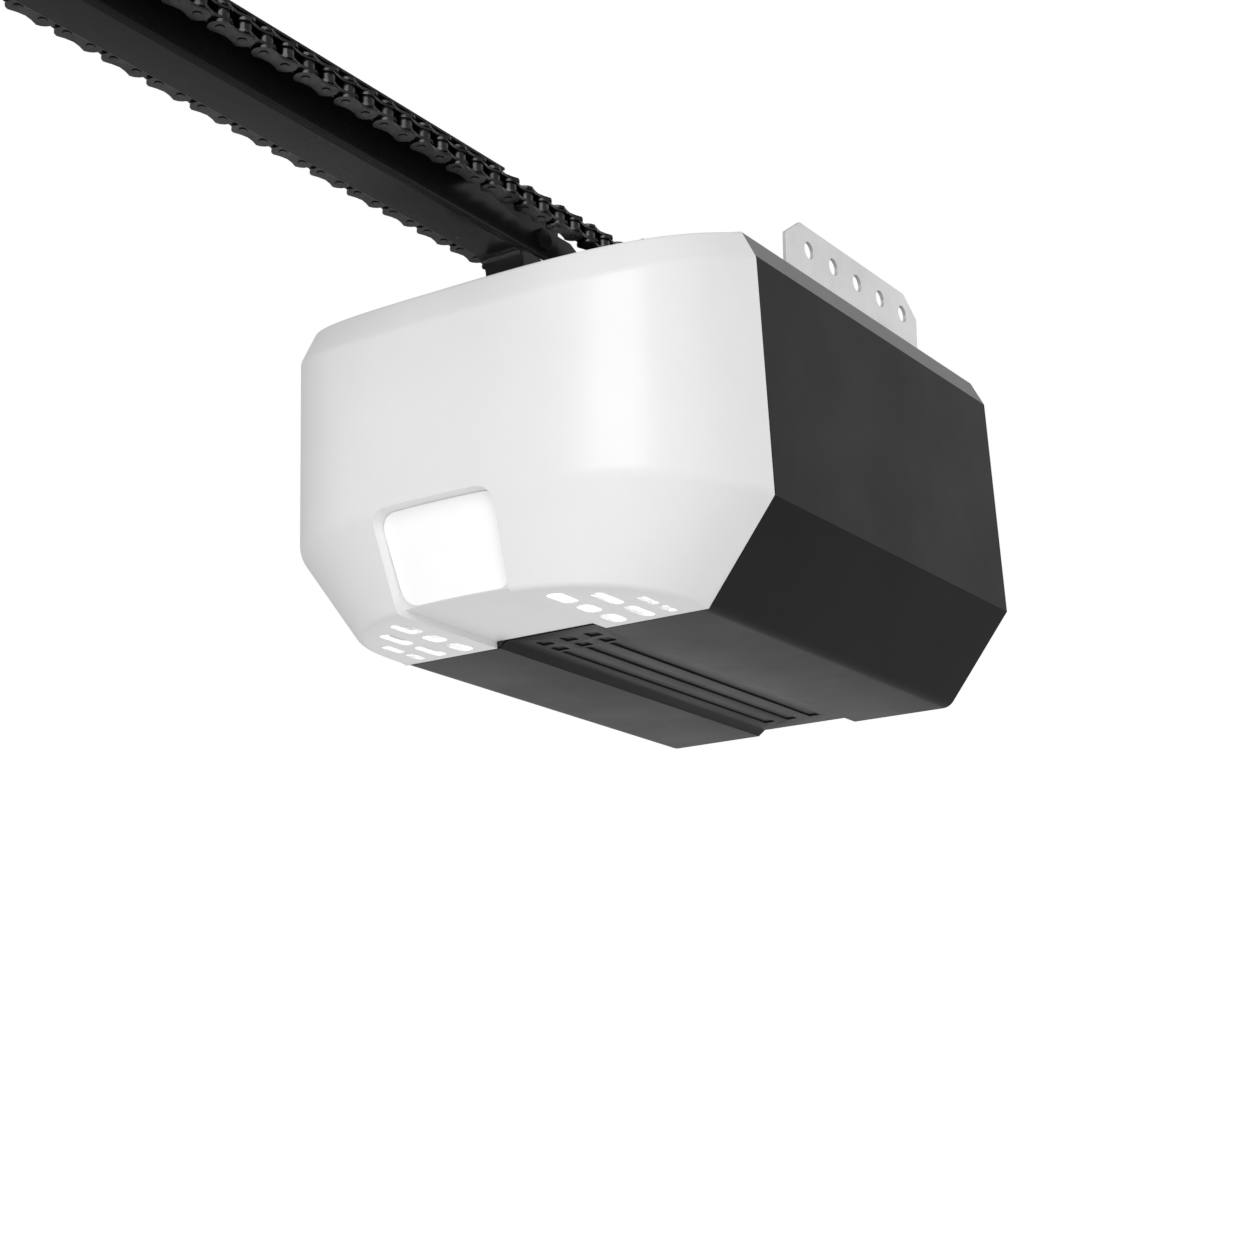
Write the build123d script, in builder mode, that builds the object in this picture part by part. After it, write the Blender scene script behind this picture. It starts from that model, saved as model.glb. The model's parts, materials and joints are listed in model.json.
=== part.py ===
"""Chain drive garage door opener: a powered head, a rail, a chain and cable loop, a trolley and an arm.

Millimetres. +X is the head's right side, -Y runs along the rail to the door, +Z is up.
The origin is the hanging point, midway between the hole rows of the two hanger brackets.
"""

import os
from math import atan2, cos, degrees, pi, radians, sin, sqrt

from build123d import *

os.makedirs("parts", exist_ok=True)

# Case, seen from the front; heights are above its underside
HEAD_WIDTH = 248.0
FLOOR_WIDTH = 176.0
SHOULDER_WIDTH = 234.0
DECK_WIDTH = 219.0
CASE_LENGTH = 240.0
FOLD_HEIGHT = 47.0
SHOULDER_HEIGHT = 165.0
DECK_HEIGHT = 179.0
HANG_HEIGHT = 197.0
SHEET = 1.2
FLOOR_BEND = 8.0
EDGE_BEND = 3.0
PAN_LAP = 12.0
REAR_PANEL = 1.6

# Channel pressed into the floor, with its flutes
CHANNEL_WIDTH = 61.0
CHANNEL_SLOPE = 4.0
CHANNEL_DEPTH = 3.0
FLUTE_WIDTH = 6.5
FLUTE_PITCH = 14.0
FLUTE_DEPTH = 0.8
FLUTE_COUNT = 3
FLUTE_START = 32.0
FLUTE_REAR_MARGIN = 16.0
FLUTE_BLOCK = 7.0
FLUTE_BLOCK_GAP = 5.0

# Lens cover
LENS_WALL = 2.0
LENS_GAP = 0.8
LENS_FLOOR_DEPTH = 77.0
LENS_FOLD_DEPTH = 90.0
LENS_SHOULDER_DEPTH = 88.0
LENS_TOP_DEPTH = 79.0
LENS_TILT = 18.5
PANEL_HEIGHT = 45.0
PANEL_RECESS = 3.5
PANEL_THICKNESS = 1.0
PANEL_CORNER = 8.0
TAB_WIDTH = 10.0
TAB_SPACING = 142.0
TAB_THICKNESS = 1.5
TAB_REACH = 3.3
TAB_GAP = 0.3
# Vents in the lens floor: distance from the middle, width, then front and rear end behind the joint
VENT_COLUMNS = [
    (44.5, 8.5, [(-62.0, -44.5), (-39.0, -26.0), (-20.5, -6.0)]),
    (60.5, 6.5, [(-51.5, -31.0), (-25.5, -6.0)]),
    (73.2, 4.5, [(-35.0, -21.0), (-17.0, -6.0)]),
]

# Hanger brackets
HANGER_SHEET = 2.0
HANGER_SPACING = 208.6
HANGER_HOLE_RADIUS = 4.4
HANGER_HOLE_PITCH = 24.5
HANGER_HOLES = 5
HANGER_TOP = 12.0
HANGER_FRONT_MARGIN = 22.5
HANGER_REAR_MARGIN = 16.0
HANGER_CORNER_LONG = 14.0
HANGER_CORNER_HIGH = 10.0
HANGER_FOOT = 20.0
HANGER_SCREW_SPACING = 90.0

# Chain: pitch, widths and heights of a narrow opener chain
PITCH = 12.7
TEETH = 13
ROLLER_RADIUS = 3.9
CHAIN_INNER_WIDTH = 4.8
PLATE = 1.1
PLATE_HALF_WIDTH = 4.8
PLATE_WAIST = 3.4
CHAIN_HEIGHT = -1.0
CHAIN_PITCH_RADIUS = PITCH / (2 * sin(pi / TEETH))
NEAR_LINKS_RIGHT = 24
NEAR_LINKS_LEFT = 30
CABLE_DIAMETER = 3.2
FERRULE_RADIUS = 3.6
FERRULE_LENGTH = 26.0

# Rail: a hat section whose flanges cover the two chain runs
RAIL_WIDTH = 25.0
RAIL_FLANGE_WIDTH = 60.0
RAIL_SHEET = 1.2
RAIL_BEND = 2.5
RAIL_BOTTOM = -15.6
RAIL_TOP = 6.0
RAIL_LENGTH = 2640.0
RAIL_REAR = -12.0
RAIL_FLANGE_REAR = -78.0
RAIL_FOOT = -37.0
RAIL_FOOT_RADIUS = 9.0
RAIL_FOOT_DROP = 10.0

# Trolley and its travel; the rest place is measured from the case's front edge
TRAVEL = 2133.6
OPEN_TRAVEL = 650.0
TROLLEY_REST = 1000.0
TROLLEY_LENGTH = 160.0
TROLLEY_WIDTH = 72.0
TROLLEY_SHEET = 2.0
TROLLEY_TOP = 12.0
TROLLEY_BOTTOM = -30.0
SLIDE_GAP = 0.3
CHAIN_GAP = 0.5

# Door arm, release lever and door bracket
ARM_PIVOT_DROP = 18.0
ARM_PIN_RADIUS = 4.0
RUNNING = 0.05
ARM_THICKNESS = 3.0
ARM_WIDTH = 32.0
STRAIGHT_ARM = 380.0
CURVED_ARM = 330.0
ARM_LAP = 90.0
ARM_BEND = 150.0
ARM_HOLE_RADIUS = 4.2
ARM_HOLE_PITCH = 25.0
EAR_SHEET = 3.0
EAR_GAP = 10.0
DOOR_PLATE = 76.0

# Front idler and header bracket
IDLER_OFFSET = 38.0
IDLER_SHEET = 2.5
IDLER_WIDTH = 24.0
IDLER_LAP = 70.0
AXLE_RADIUS = 5.0
HEADER_PLATE = 3.0
HEADER_HEIGHT = 90.0
HEADER_HOLE_RADIUS = 3.6
HEADER_HOLE_SPACING = 60.0

# Drive train inside the case
SHAFT_RADIUS = 6.0
GEAR_RADIUS = 26.0
GEAR_TEETH = 16
GEAR_HEIGHT = 138.0
GEAR_THICKNESS = 14.0
WORM_RADIUS = 8.0
MOTOR_RADIUS = 32.0
MOTOR_LENGTH = 92.0
ROTOR_RADIUS = 14.0

# Fasteners
SCREW_RADIUS = 2.9
SCREW_HEAD = 5.5
SCREW_HEAD_HEIGHT = 4.0

FRONT = -CASE_LENGTH / 2
REAR = CASE_LENGTH / 2
UNDERSIDE = -HANG_HEIGHT
DECK = DECK_HEIGHT - HANG_HEIGHT
SPROCKET_Y = FRONT + 43.7
TROLLEY_Y = FRONT - TROLLEY_REST
RAIL_END = FRONT + RAIL_REAR - RAIL_LENGTH
IDLER_Y = RAIL_END - IDLER_OFFSET
IDLER_BOLTS = [RAIL_END + 18, RAIL_END + 50]


def up(height):
    """A height above the case's underside, as a z of the part's frame."""
    return height + UNDERSIDE


def behind(distance):
    """A distance behind the case's front edge, as a y of the part's frame."""
    return FRONT + distance


def save(part, name, colour):
    """Name a finished piece and write it."""
    part.part.label = name
    part.part.color = Color(*colour)
    export_step(part.part, f"parts/{name}.step")


# Fits inside the case
SEAT_GAP = 0.3
LAP_GAP = 0.2
LIGHT_PANEL_BACK = 6.2
BUSH_RADIUS = 12.0
SCREW_PLAY = 0.2
LENS_Y = FRONT - LENS_GAP
HANGER_SCREW_X = HANGER_SPACING / 2 - HANGER_FOOT / 2
HANGER_SCREWS = [(sx * HANGER_SCREW_X, sy * HANGER_SCREW_SPACING / 2) for sx in (1, -1) for sy in (1, -1)]
MOUNT_BOLTS = [behind(11), behind(21)]

# Lens notch that lets the lens swing clear of the rail's foot and mount
NOTCH_WIDTH = 50.0
NOTCH_DEPTH = 60.0

# Rail mount and the guard over the sprocket
MOUNT_SHEET = 2.0
MOUNT_REAR = 26.0
MOUNT_CROSS = -26.0
CROSS_HEIGHT = -6.0
CHEEK_LOW = -13.0
CHEEK_TOP = 2.0
COVER_RADIUS = 36.0
COVER_WALL = 1.6
COVER_FRONT = 28.0
COVER_HEIGHT = 27.0

# Sprocket, its bush and its shaft
SPROCKET_THICKNESS = 3.6
SPROCKET_TIP = 2.8
SPROCKET_HUB = 11.0
BUSH_FLANGE = 2.0
SHAFT_TAIL = 8.0
SHAFT_TOP = 4.0
LEFT_START = 6.33
CHAIN_SPARE = 190.0
PLATE_GAP = 0.1

# Idler, header bracket, trolley and arm details
PULLEY_RADIUS = 30.0
PULLEY_THICKNESS = 9.0
GROOVE_RADIUS = CHAIN_PITCH_RADIUS - CABLE_DIAMETER / 2
IDLER_FRONT = IDLER_Y - PULLEY_RADIUS - 8
HEADER_PIN_Y = IDLER_FRONT - 16
HEADER_PIN_Z = -8.0
HEADER_REACH = 26.0
HEADER_WIDTH = 50.0
TONGUE_WIDTH = 20.0
TONGUE_RADIUS = 12.0
PIN_HEAD = 6.5
PIN_HEAD_HEIGHT = 2.5
ARM_PIN_Z = TROLLEY_BOTTOM - ARM_PIVOT_DROP
ARM_Y = TROLLEY_Y - 20.0
ELBOW_Z = ARM_PIN_Z - STRAIGHT_ARM
DOOR_PIN_Z = ELBOW_Z - CURVED_ARM + ARM_LAP
LEVER_Y = TROLLEY_Y + 48.0
LEVER_Z = TROLLEY_BOTTOM - 9.0
LEVER_PIN = 3.0
LEVER_THICKNESS = 8.0
CLIP_LENGTH = 60.0
CLIP_SHEET = 1.0
ARM_HOLES = 4
ARM_SWEEP = 90.0
DOOR_DROP = 24.0
DOOR_WIDTH = 40.0
DOOR_HOLE_SPACING = 50.0

# Motor line
MOTOR_X = GEAR_RADIUS + WORM_RADIUS + SEAT_GAP
MOTOR_SHAFT = 4.0
MOTOR_DROP = 58.0
END_BELL = 8.0
MOTOR_FRONT = behind(84)
WORM_LENGTH = 44.0

# Rear panel fittings
CONTROL_X = -45.0
CONTROL_HEIGHT = 112.0
CONTROL_WIDTH = 84.0
CONTROL_TALL = 54.0
CONTROL_RIM = 6.0
INLET_X = 62.0
INLET_HEIGHT = 60.0
INLET_RADIUS = 9.0
BUTTON_GAP = 0.15
BUTTONS = {"up_button": (-20.0, 6.5), "down_button": (2.0, 6.5), "learn_button": (24.0, 4.0)}
BUTTON_STAND = 2.5
BUTTON_LIP = 1.2
CONTROL_THICKNESS = 2.0
TERMINAL_HEIGHT = 62.0

# Speed sensor and logic board
SENSOR_HEIGHT = 160.0
SENSOR_RADIUS = 18.0
BOARD_BACK = 16.0
BOARD_POSTS = [(-40, 60), (-10, 58), (30, 66), (-30, 128)]

# Lamps behind the lens
LAMP_HEIGHT = 95.0
LAMP_Y = FRONT - 34.0
LAMP_X = 68.0
BULB_RADIUS = 27.0
SOCKET_RADIUS = 17.0
SOCKET_IN = 8.0
SOCKET_OUT = 34.0
BASE_RADIUS = 13.0

DARK = (0.11, 0.11, 0.11)
GREY = (0.45, 0.45, 0.45)
ZINC = (0.72, 0.72, 0.72)
WHITE = (0.93, 0.93, 0.93)
NYLON = (0.85, 0.84, 0.78)
BOARD = (0.1, 0.35, 0.2)

# The case's closed outline seen from the front, and the same outline as one sheet
with BuildSketch() as case_outline:
    channel_floor = CHANNEL_WIDTH / 2 - CHANNEL_SLOPE
    right_half = [
        (channel_floor, up(CHANNEL_DEPTH)),
        (CHANNEL_WIDTH / 2, up(0)),
        (FLOOR_WIDTH / 2, up(0)),
        (HEAD_WIDTH / 2, up(FOLD_HEIGHT)),
        (SHOULDER_WIDTH / 2, up(SHOULDER_HEIGHT)),
        (DECK_WIDTH / 2, DECK),
    ]
    with BuildLine():
        Polyline(*right_half, *[(-x, z) for x, z in reversed(right_half)], close=True)
    make_face()
    corners = case_outline.vertices()
    fillet(corners.filter_by(lambda v: v.Y < up(1) and abs(v.X) > CHANNEL_WIDTH / 2 + 1), FLOOR_BEND)
    fillet(corners.filter_by(lambda v: abs(v.X) > SHOULDER_WIDTH / 2 + 1 or v.Y > DECK - 1), EDGE_BEND)

with BuildSketch() as case_ring:
    add(case_outline.sketch)
    offset(amount=-SHEET, kind=Kind.INTERSECTION, mode=Mode.SUBTRACT)

CASE_REAR_PLANE = Plane.XZ.offset(REAR_PANEL - REAR)
SHEET_LENGTH = CASE_LENGTH - REAR_PANEL

# Lower cover: one sheet folded round the sides and the floor
with BuildPart() as lower_cover:
    with BuildSketch(CASE_REAR_PLANE):
        add(case_ring.sketch)
        with Locations((0, up(SHOULDER_HEIGHT) + HEAD_WIDTH / 2)):
            Rectangle(2 * HEAD_WIDTH, HEAD_WIDTH, mode=Mode.SUBTRACT)
    extrude(amount=SHEET_LENGTH)
    flute_length = CASE_LENGTH - FLUTE_START - FLUTE_REAR_MARGIN
    block_step = FLUTE_BLOCK + FLUTE_BLOCK_GAP
    with BuildSketch(Plane.XY.offset(up(CHANNEL_DEPTH))):
        with Locations((0, behind(FLUTE_START) + flute_length / 2)):
            with GridLocations(FLUTE_PITCH, 1, FLUTE_COUNT, 1):
                Rectangle(FLUTE_WIDTH, flute_length)
        with Locations((0, behind(FLUTE_START) - block_step)):
            with GridLocations(FLUTE_PITCH, block_step, FLUTE_COUNT, 2):
                Rectangle(FLUTE_BLOCK, FLUTE_BLOCK)
    extrude(amount=FLUTE_DEPTH, mode=Mode.SUBTRACT)
save(lower_cover, "lower_cover", DARK)

# Deck pan: the top sheet, whose edges lap inside the lower cover
with BuildPart() as deck_pan:
    with BuildSketch(CASE_REAR_PLANE):
        add(case_ring.sketch)
        with Locations((0, up(SHOULDER_HEIGHT) - HEAD_WIDTH / 2)):
            Rectangle(2 * HEAD_WIDTH, HEAD_WIDTH, mode=Mode.SUBTRACT)
    extrude(amount=SHEET_LENGTH)
    side_lean = (HEAD_WIDTH - SHOULDER_WIDTH) / 2 / (SHOULDER_HEIGHT - FOLD_HEIGHT)
    lap_x = SHOULDER_WIDTH / 2 - SHEET * sqrt(1 + side_lean**2) - LAP_GAP
    with BuildSketch(CASE_REAR_PLANE):
        with BuildLine():
            Polyline(
                (lap_x, up(SHOULDER_HEIGHT)),
                (lap_x - SHEET / 2, up(SHOULDER_HEIGHT + SHEET)),
                (lap_x - SHEET, up(SHOULDER_HEIGHT + SHEET)),
                (lap_x - SHEET + PAN_LAP * side_lean, up(SHOULDER_HEIGHT - PAN_LAP)),
                (lap_x + PAN_LAP * side_lean, up(SHOULDER_HEIGHT - PAN_LAP)),
                close=True,
            )
        make_face()
        mirror(about=Plane.YZ)
    extrude(amount=SHEET_LENGTH)
    with Locations((0, SPROCKET_Y, DECK)):
        Hole(BUSH_RADIUS, depth=2 * SHEET)
    with Locations(*[(x, y, DECK) for x, y in HANGER_SCREWS]):
        Hole(SCREW_RADIUS + SCREW_PLAY, depth=2 * SHEET)
    with Locations(*[(0, y, DECK) for y in MOUNT_BOLTS]):
        Hole(SCREW_RADIUS + SCREW_PLAY, depth=2 * SHEET)
save(deck_pan, "deck_pan", GREY)

# Rear panel: closes the case, with a window behind the control panel and a hole for the inlet
with BuildPart() as rear_panel:
    with BuildSketch(Plane.XZ.offset(-REAR)):
        add(case_outline.sketch)
        with Locations((CONTROL_X, up(CONTROL_HEIGHT))):
            Rectangle(CONTROL_WIDTH - 2 * CONTROL_RIM, CONTROL_TALL - 2 * CONTROL_RIM, mode=Mode.SUBTRACT)
        with Locations((INLET_X, up(INLET_HEIGHT))):
            Circle(INLET_RADIUS + SCREW_PLAY, mode=Mode.SUBTRACT)
    extrude(amount=REAR_PANEL)
    chamfer(rear_panel.faces().sort_by(Axis.Y)[-1].outer_wire().edges(), REAR_PANEL / 2)
save(rear_panel, "rear_panel", DARK)

# Light panel: the white bulkhead behind the lens, which carries the lamp holders
with BuildPart() as light_panel:
    with BuildSketch(Plane.XZ.offset(-behind(LIGHT_PANEL_BACK))):
        add(case_outline.sketch)
        offset(amount=-(2 * SHEET + 2 * SEAT_GAP), kind=Kind.INTERSECTION, mode=Mode.REPLACE)
    extrude(amount=SHEET)
save(light_panel, "light_panel", WHITE)


def lens_form(inset):
    """The lens cover's body, moved in by a wall or a recess: an open bowl's outer or inner form."""
    tilt = radians(LENS_TILT)
    lean = (HEAD_WIDTH - FLOOR_WIDTH) / 2 / FOLD_HEIGHT
    floor_in = inset * (sqrt(1 + lean**2) - lean)
    fold_in = inset * sqrt(1 + (lean / 2) ** 2)
    tilted = (0, -sin(tilt), cos(tilt))
    rings = [
        (Plane((0, LENS_Y, up(inset))), FLOOR_WIDTH / 2 - floor_in, LENS_FLOOR_DEPTH - floor_in),
        (Plane((0, LENS_Y, up(FOLD_HEIGHT))), HEAD_WIDTH / 2 - fold_in, LENS_FOLD_DEPTH - fold_in),
        (
            Plane((0, LENS_Y, up(SHOULDER_HEIGHT)), x_dir=(1, 0, 0), z_dir=tilted),
            SHOULDER_WIDTH / 2 - inset,
            (LENS_SHOULDER_DEPTH - inset) / cos(tilt),
        ),
        (
            Plane((0, LENS_Y, DECK - inset), x_dir=(1, 0, 0), z_dir=tilted),
            DECK_WIDTH / 2 - inset,
            (LENS_TOP_DEPTH - inset) / cos(tilt),
        ),
    ]
    halves = []
    for plane, half_width, depth in rings:
        with BuildSketch(plane) as half:
            Ellipse(half_width, depth)
            with Locations((0, depth)):
                Rectangle(4 * half_width, 2 * depth, mode=Mode.SUBTRACT)
        halves.append(half.sketch.faces()[0])
    with BuildPart() as form:
        for low, high in zip(halves, halves[1:]):
            loft([low, high], ruled=True)
    return form.part


def lens_window(grow):
    """A prism from front to back over the recess that runs down the lens and along its floor."""
    width = CHANNEL_WIDTH + 2 * grow
    height = PANEL_HEIGHT + 2 * PANEL_CORNER + grow
    with BuildPart() as prism:
        with BuildSketch(Plane.XZ.offset(-LENS_Y)):
            with Locations((0, up(PANEL_HEIGHT + grow - height / 2))):
                RectangleRounded(width, height, PANEL_CORNER + grow)
        extrude(amount=LENS_FOLD_DEPTH + 10)
    return prism.part


# Lens cover: a moulded bowl, open to the rear, with a recess down its middle and vents in its floor
with BuildPart() as lens_cover:
    add(lens_form(0))
    add(lens_window(0) - lens_form(PANEL_RECESS), mode=Mode.SUBTRACT)
    recess_wall = lens_window(LENS_WALL) - lens_form(PANEL_RECESS + LENS_WALL)
    add(lens_form(LENS_WALL) - recess_wall, mode=Mode.SUBTRACT)
    with BuildSketch(Plane.XY.offset(up(-1))):
        for column_x, vent_width, rows in VENT_COLUMNS:
            for vent_front, vent_rear in rows:
                with Locations((column_x, FRONT + (vent_front + vent_rear) / 2)):
                    Rectangle(vent_width, vent_rear - vent_front)
        mirror(about=Plane.YZ)
    extrude(amount=LENS_WALL + 2, mode=Mode.SUBTRACT)
    with Locations((0, LENS_Y - NOTCH_DEPTH / 2, DECK)):
        Box(NOTCH_WIDTH, NOTCH_DEPTH, 2 * NOTCH_DEPTH, mode=Mode.SUBTRACT)
    for side in (1, -1):
        tab_height = up(SHEET + TAB_GAP + TAB_THICKNESS / 2)
        with Locations((side * TAB_SPACING / 2, LENS_Y + TAB_REACH / 2, tab_height)):
            Box(TAB_WIDTH, TAB_REACH + 2 * LENS_WALL, TAB_THICKNESS)
save(lens_cover, "lens_cover", WHITE)

# Lens panel: the bright square let into the lens's recess
with BuildPart() as lens_panel:
    add(lens_form(PANEL_RECESS - PANEL_THICKNESS) - lens_form(PANEL_RECESS))
    with BuildSketch(Plane.XZ.offset(-LENS_Y)):
        with Locations((0, up((PANEL_HEIGHT + PANEL_RECESS) / 2))):
            panel_tall = PANEL_HEIGHT - PANEL_RECESS - 2 * SEAT_GAP
            RectangleRounded(CHANNEL_WIDTH - 2 * SEAT_GAP, panel_tall, PANEL_CORNER)
    extrude(amount=LENS_FOLD_DEPTH + 10, mode=Mode.INTERSECT)
save(lens_panel, "lens_panel", WHITE)


# Hanger brackets: angle plates screwed to the deck, each with a row of holes for the hanging straps
def hanger(side):
    """One hanger bracket, standing on the given side of the deck."""
    outer = side * (HANGER_SPACING / 2 + HANGER_SHEET / 2)
    row = HANGER_HOLE_PITCH * (HANGER_HOLES - 1)
    front, rear = -row / 2 - HANGER_FRONT_MARGIN, row / 2 + HANGER_REAR_MARGIN
    with BuildPart() as bracket:
        with BuildSketch(Plane.YZ.offset(outer)):
            with BuildLine():
                Polyline(
                    (front, DECK),
                    (front, HANGER_TOP - HANGER_CORNER_HIGH),
                    (front + HANGER_CORNER_LONG, HANGER_TOP),
                    (rear - HANGER_CORNER_LONG, HANGER_TOP),
                    (rear, HANGER_TOP - HANGER_CORNER_HIGH),
                    (rear, DECK),
                    close=True,
                )
            make_face()
            with GridLocations(HANGER_HOLE_PITCH, 1, HANGER_HOLES, 1):
                Circle(HANGER_HOLE_RADIUS, mode=Mode.SUBTRACT)
        extrude(amount=-side * HANGER_SHEET)
        foot_x = outer - side * (HANGER_SHEET + HANGER_FOOT) / 2
        with Locations((foot_x, (front + rear) / 2, DECK + HANGER_SHEET / 2)):
            Box(HANGER_FOOT, rear - front, HANGER_SHEET)
        with Locations(*[(x, y, DECK + HANGER_SHEET) for x, y in HANGER_SCREWS]):
            Hole(SCREW_RADIUS + SCREW_PLAY, depth=2 * HANGER_SHEET)
    return bracket


save(hanger(1), "hanger_bracket_right", ZINC)
save(hanger(-1), "hanger_bracket_left", ZINC)


def deck_screws(places, seat, reach):
    """Hexagon-head screws standing on a seat height, one at each place, with their shanks going down."""
    with BuildPart() as screws:
        with BuildSketch(Plane.XY.offset(seat)):
            with Locations(*places):
                RegularPolygon(SCREW_HEAD, 6)
        extrude(amount=SCREW_HEAD_HEIGHT)
        with BuildSketch(Plane.XY.offset(seat)):
            with Locations(*places):
                RegularPolygon(SCREW_RADIUS, 12)
        extrude(amount=-reach)
    return screws


save(deck_screws(HANGER_SCREWS, DECK + HANGER_SHEET, 8.0), "hanger_screws", ZINC)

# Rail: a hat section; its web curves down to a foot in front of the head
WEB_TOP = RAIL_BOTTOM + RAIL_SHEET
CASE_EDGE_RAIL = FRONT + RAIL_REAR
with BuildPart() as rail:
    with BuildSketch(Plane.XZ.offset(-CASE_EDGE_RAIL)) as hat:
        with BuildLine():
            Polyline(
                (0, RAIL_BOTTOM),
                (RAIL_WIDTH / 2, RAIL_BOTTOM),
                (RAIL_WIDTH / 2, RAIL_TOP - RAIL_SHEET),
                (RAIL_FLANGE_WIDTH / 2, RAIL_TOP - RAIL_SHEET),
                (RAIL_FLANGE_WIDTH / 2, RAIL_TOP),
                (RAIL_WIDTH / 2 - RAIL_SHEET, RAIL_TOP),
                (RAIL_WIDTH / 2 - RAIL_SHEET, WEB_TOP),
                (0, WEB_TOP),
                close=True,
            )
        make_face()
        fillet(hat.vertices().filter_by(lambda v: v.Y < RAIL_BOTTOM + 0.1 and v.X > 1), RAIL_BEND)
        mirror(about=Plane.YZ)
    extrude(amount=RAIL_LENGTH)
    web_cut = FRONT + RAIL_FOOT - RAIL_FOOT_RADIUS
    with Locations((0, (web_cut + CASE_EDGE_RAIL) / 2 + 1, RAIL_BOTTOM)):
        web_gap = CASE_EDGE_RAIL - web_cut + 2
        Box(RAIL_WIDTH - 2 * RAIL_SHEET, web_gap, 2 * RAIL_SHEET + 1, mode=Mode.SUBTRACT)
    flange_cut = FRONT + RAIL_FLANGE_REAR
    flange_gap = CASE_EDGE_RAIL - flange_cut + 2
    flange_middle = flange_cut + flange_gap / 2
    with Locations(*[(side * RAIL_FLANGE_WIDTH / 2, flange_middle, RAIL_TOP) for side in (1, -1)]):
        Box(RAIL_FLANGE_WIDTH - RAIL_WIDTH, flange_gap, 3 * RAIL_SHEET, mode=Mode.SUBTRACT)
    with BuildSketch(Plane.YZ.offset(-RAIL_WIDTH / 2 + RAIL_SHEET)):
        foot_low = RAIL_BOTTOM - RAIL_FOOT_DROP
        foot_y = FRONT + RAIL_FOOT
        with BuildLine():
            FilletPolyline(
                (web_cut - 0.5, WEB_TOP),
                (foot_y, WEB_TOP),
                (foot_y, foot_low),
                radius=RAIL_FOOT_RADIUS,
            )
            Line((foot_y, foot_low), (foot_y - RAIL_SHEET, foot_low))
            FilletPolyline(
                (foot_y - RAIL_SHEET, foot_low),
                (foot_y - RAIL_SHEET, RAIL_BOTTOM),
                (web_cut - 0.5, RAIL_BOTTOM),
                radius=RAIL_FOOT_RADIUS - RAIL_SHEET,
            )
            Line((web_cut - 0.5, RAIL_BOTTOM), (web_cut - 0.5, WEB_TOP))
        make_face()
    extrude(amount=RAIL_WIDTH - 2 * RAIL_SHEET)
    with Locations(Location((0, FRONT + MOUNT_CROSS, CROSS_HEIGHT), (0, 90, 0))):
        Cylinder(SCREW_RADIUS + SCREW_PLAY, RAIL_WIDTH + 2, mode=Mode.SUBTRACT)
    with Locations(*[(0, y, RAIL_BOTTOM) for y in IDLER_BOLTS]):
        Cylinder(SCREW_RADIUS + SCREW_PLAY, 4 * RAIL_SHEET, mode=Mode.SUBTRACT)
save(rail, "rail", DARK)

# Rail mount: a folded saddle on the deck, with two cheeks inside the rail
with BuildPart() as rail_mount:
    cheek_x = RAIL_WIDTH / 2 - RAIL_SHEET
    for side in (1, -1):
        with BuildSketch(Plane.YZ.offset(side * cheek_x)):
            with BuildLine():
                Polyline(
                    (behind(MOUNT_REAR), DECK),
                    (behind(-4), DECK),
                    (behind(-14), CHEEK_LOW),
                    (behind(MOUNT_CROSS - 9), CHEEK_LOW),
                    (behind(MOUNT_CROSS - 9), CHEEK_TOP),
                    (behind(0), CHEEK_TOP),
                    (behind(MOUNT_REAR), DECK + 8),
                    close=True,
                )
            make_face()
        extrude(amount=-side * MOUNT_SHEET)
    with Locations((0, behind(MOUNT_REAR / 2), DECK + MOUNT_SHEET / 2)):
        Box(2 * cheek_x, MOUNT_REAR, MOUNT_SHEET)
    with Locations(Location((0, FRONT + MOUNT_CROSS, CROSS_HEIGHT), (0, 90, 0))):
        Cylinder(SCREW_RADIUS + SCREW_PLAY, RAIL_WIDTH, mode=Mode.SUBTRACT)
    with Locations(*[(0, y, DECK + MOUNT_SHEET) for y in MOUNT_BOLTS]):
        Hole(SCREW_RADIUS + SCREW_PLAY, depth=2 * MOUNT_SHEET)
save(rail_mount, "rail_mount", DARK)
save(deck_screws([(0, y) for y in MOUNT_BOLTS], DECK + MOUNT_SHEET, 9.0), "mount_bolts", ZINC)

# Cross bolt and nut that hold the rail to its mount
with BuildPart() as cross_bolt:
    with BuildSketch(Plane.YZ.offset(RAIL_WIDTH / 2)):
        with Locations((FRONT + MOUNT_CROSS, CROSS_HEIGHT)):
            RegularPolygon(SCREW_HEAD, 6)
    extrude(amount=SCREW_HEAD_HEIGHT - 1)
    with BuildSketch(Plane.YZ.offset(RAIL_WIDTH / 2)):
        with Locations((FRONT + MOUNT_CROSS, CROSS_HEIGHT)):
            RegularPolygon(SCREW_RADIUS, 12)
    extrude(amount=-RAIL_WIDTH - SCREW_HEAD_HEIGHT)
    with BuildSketch(Plane.YZ.offset(-RAIL_WIDTH / 2)):
        with Locations((FRONT + MOUNT_CROSS, CROSS_HEIGHT)):
            RegularPolygon(SCREW_HEAD, 6)
            RegularPolygon(SCREW_RADIUS + 0.02, 12, mode=Mode.SUBTRACT)
    extrude(amount=-SCREW_HEAD_HEIGHT + 1)
save(cross_bolt, "rail_cross_bolt", ZINC)

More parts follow.
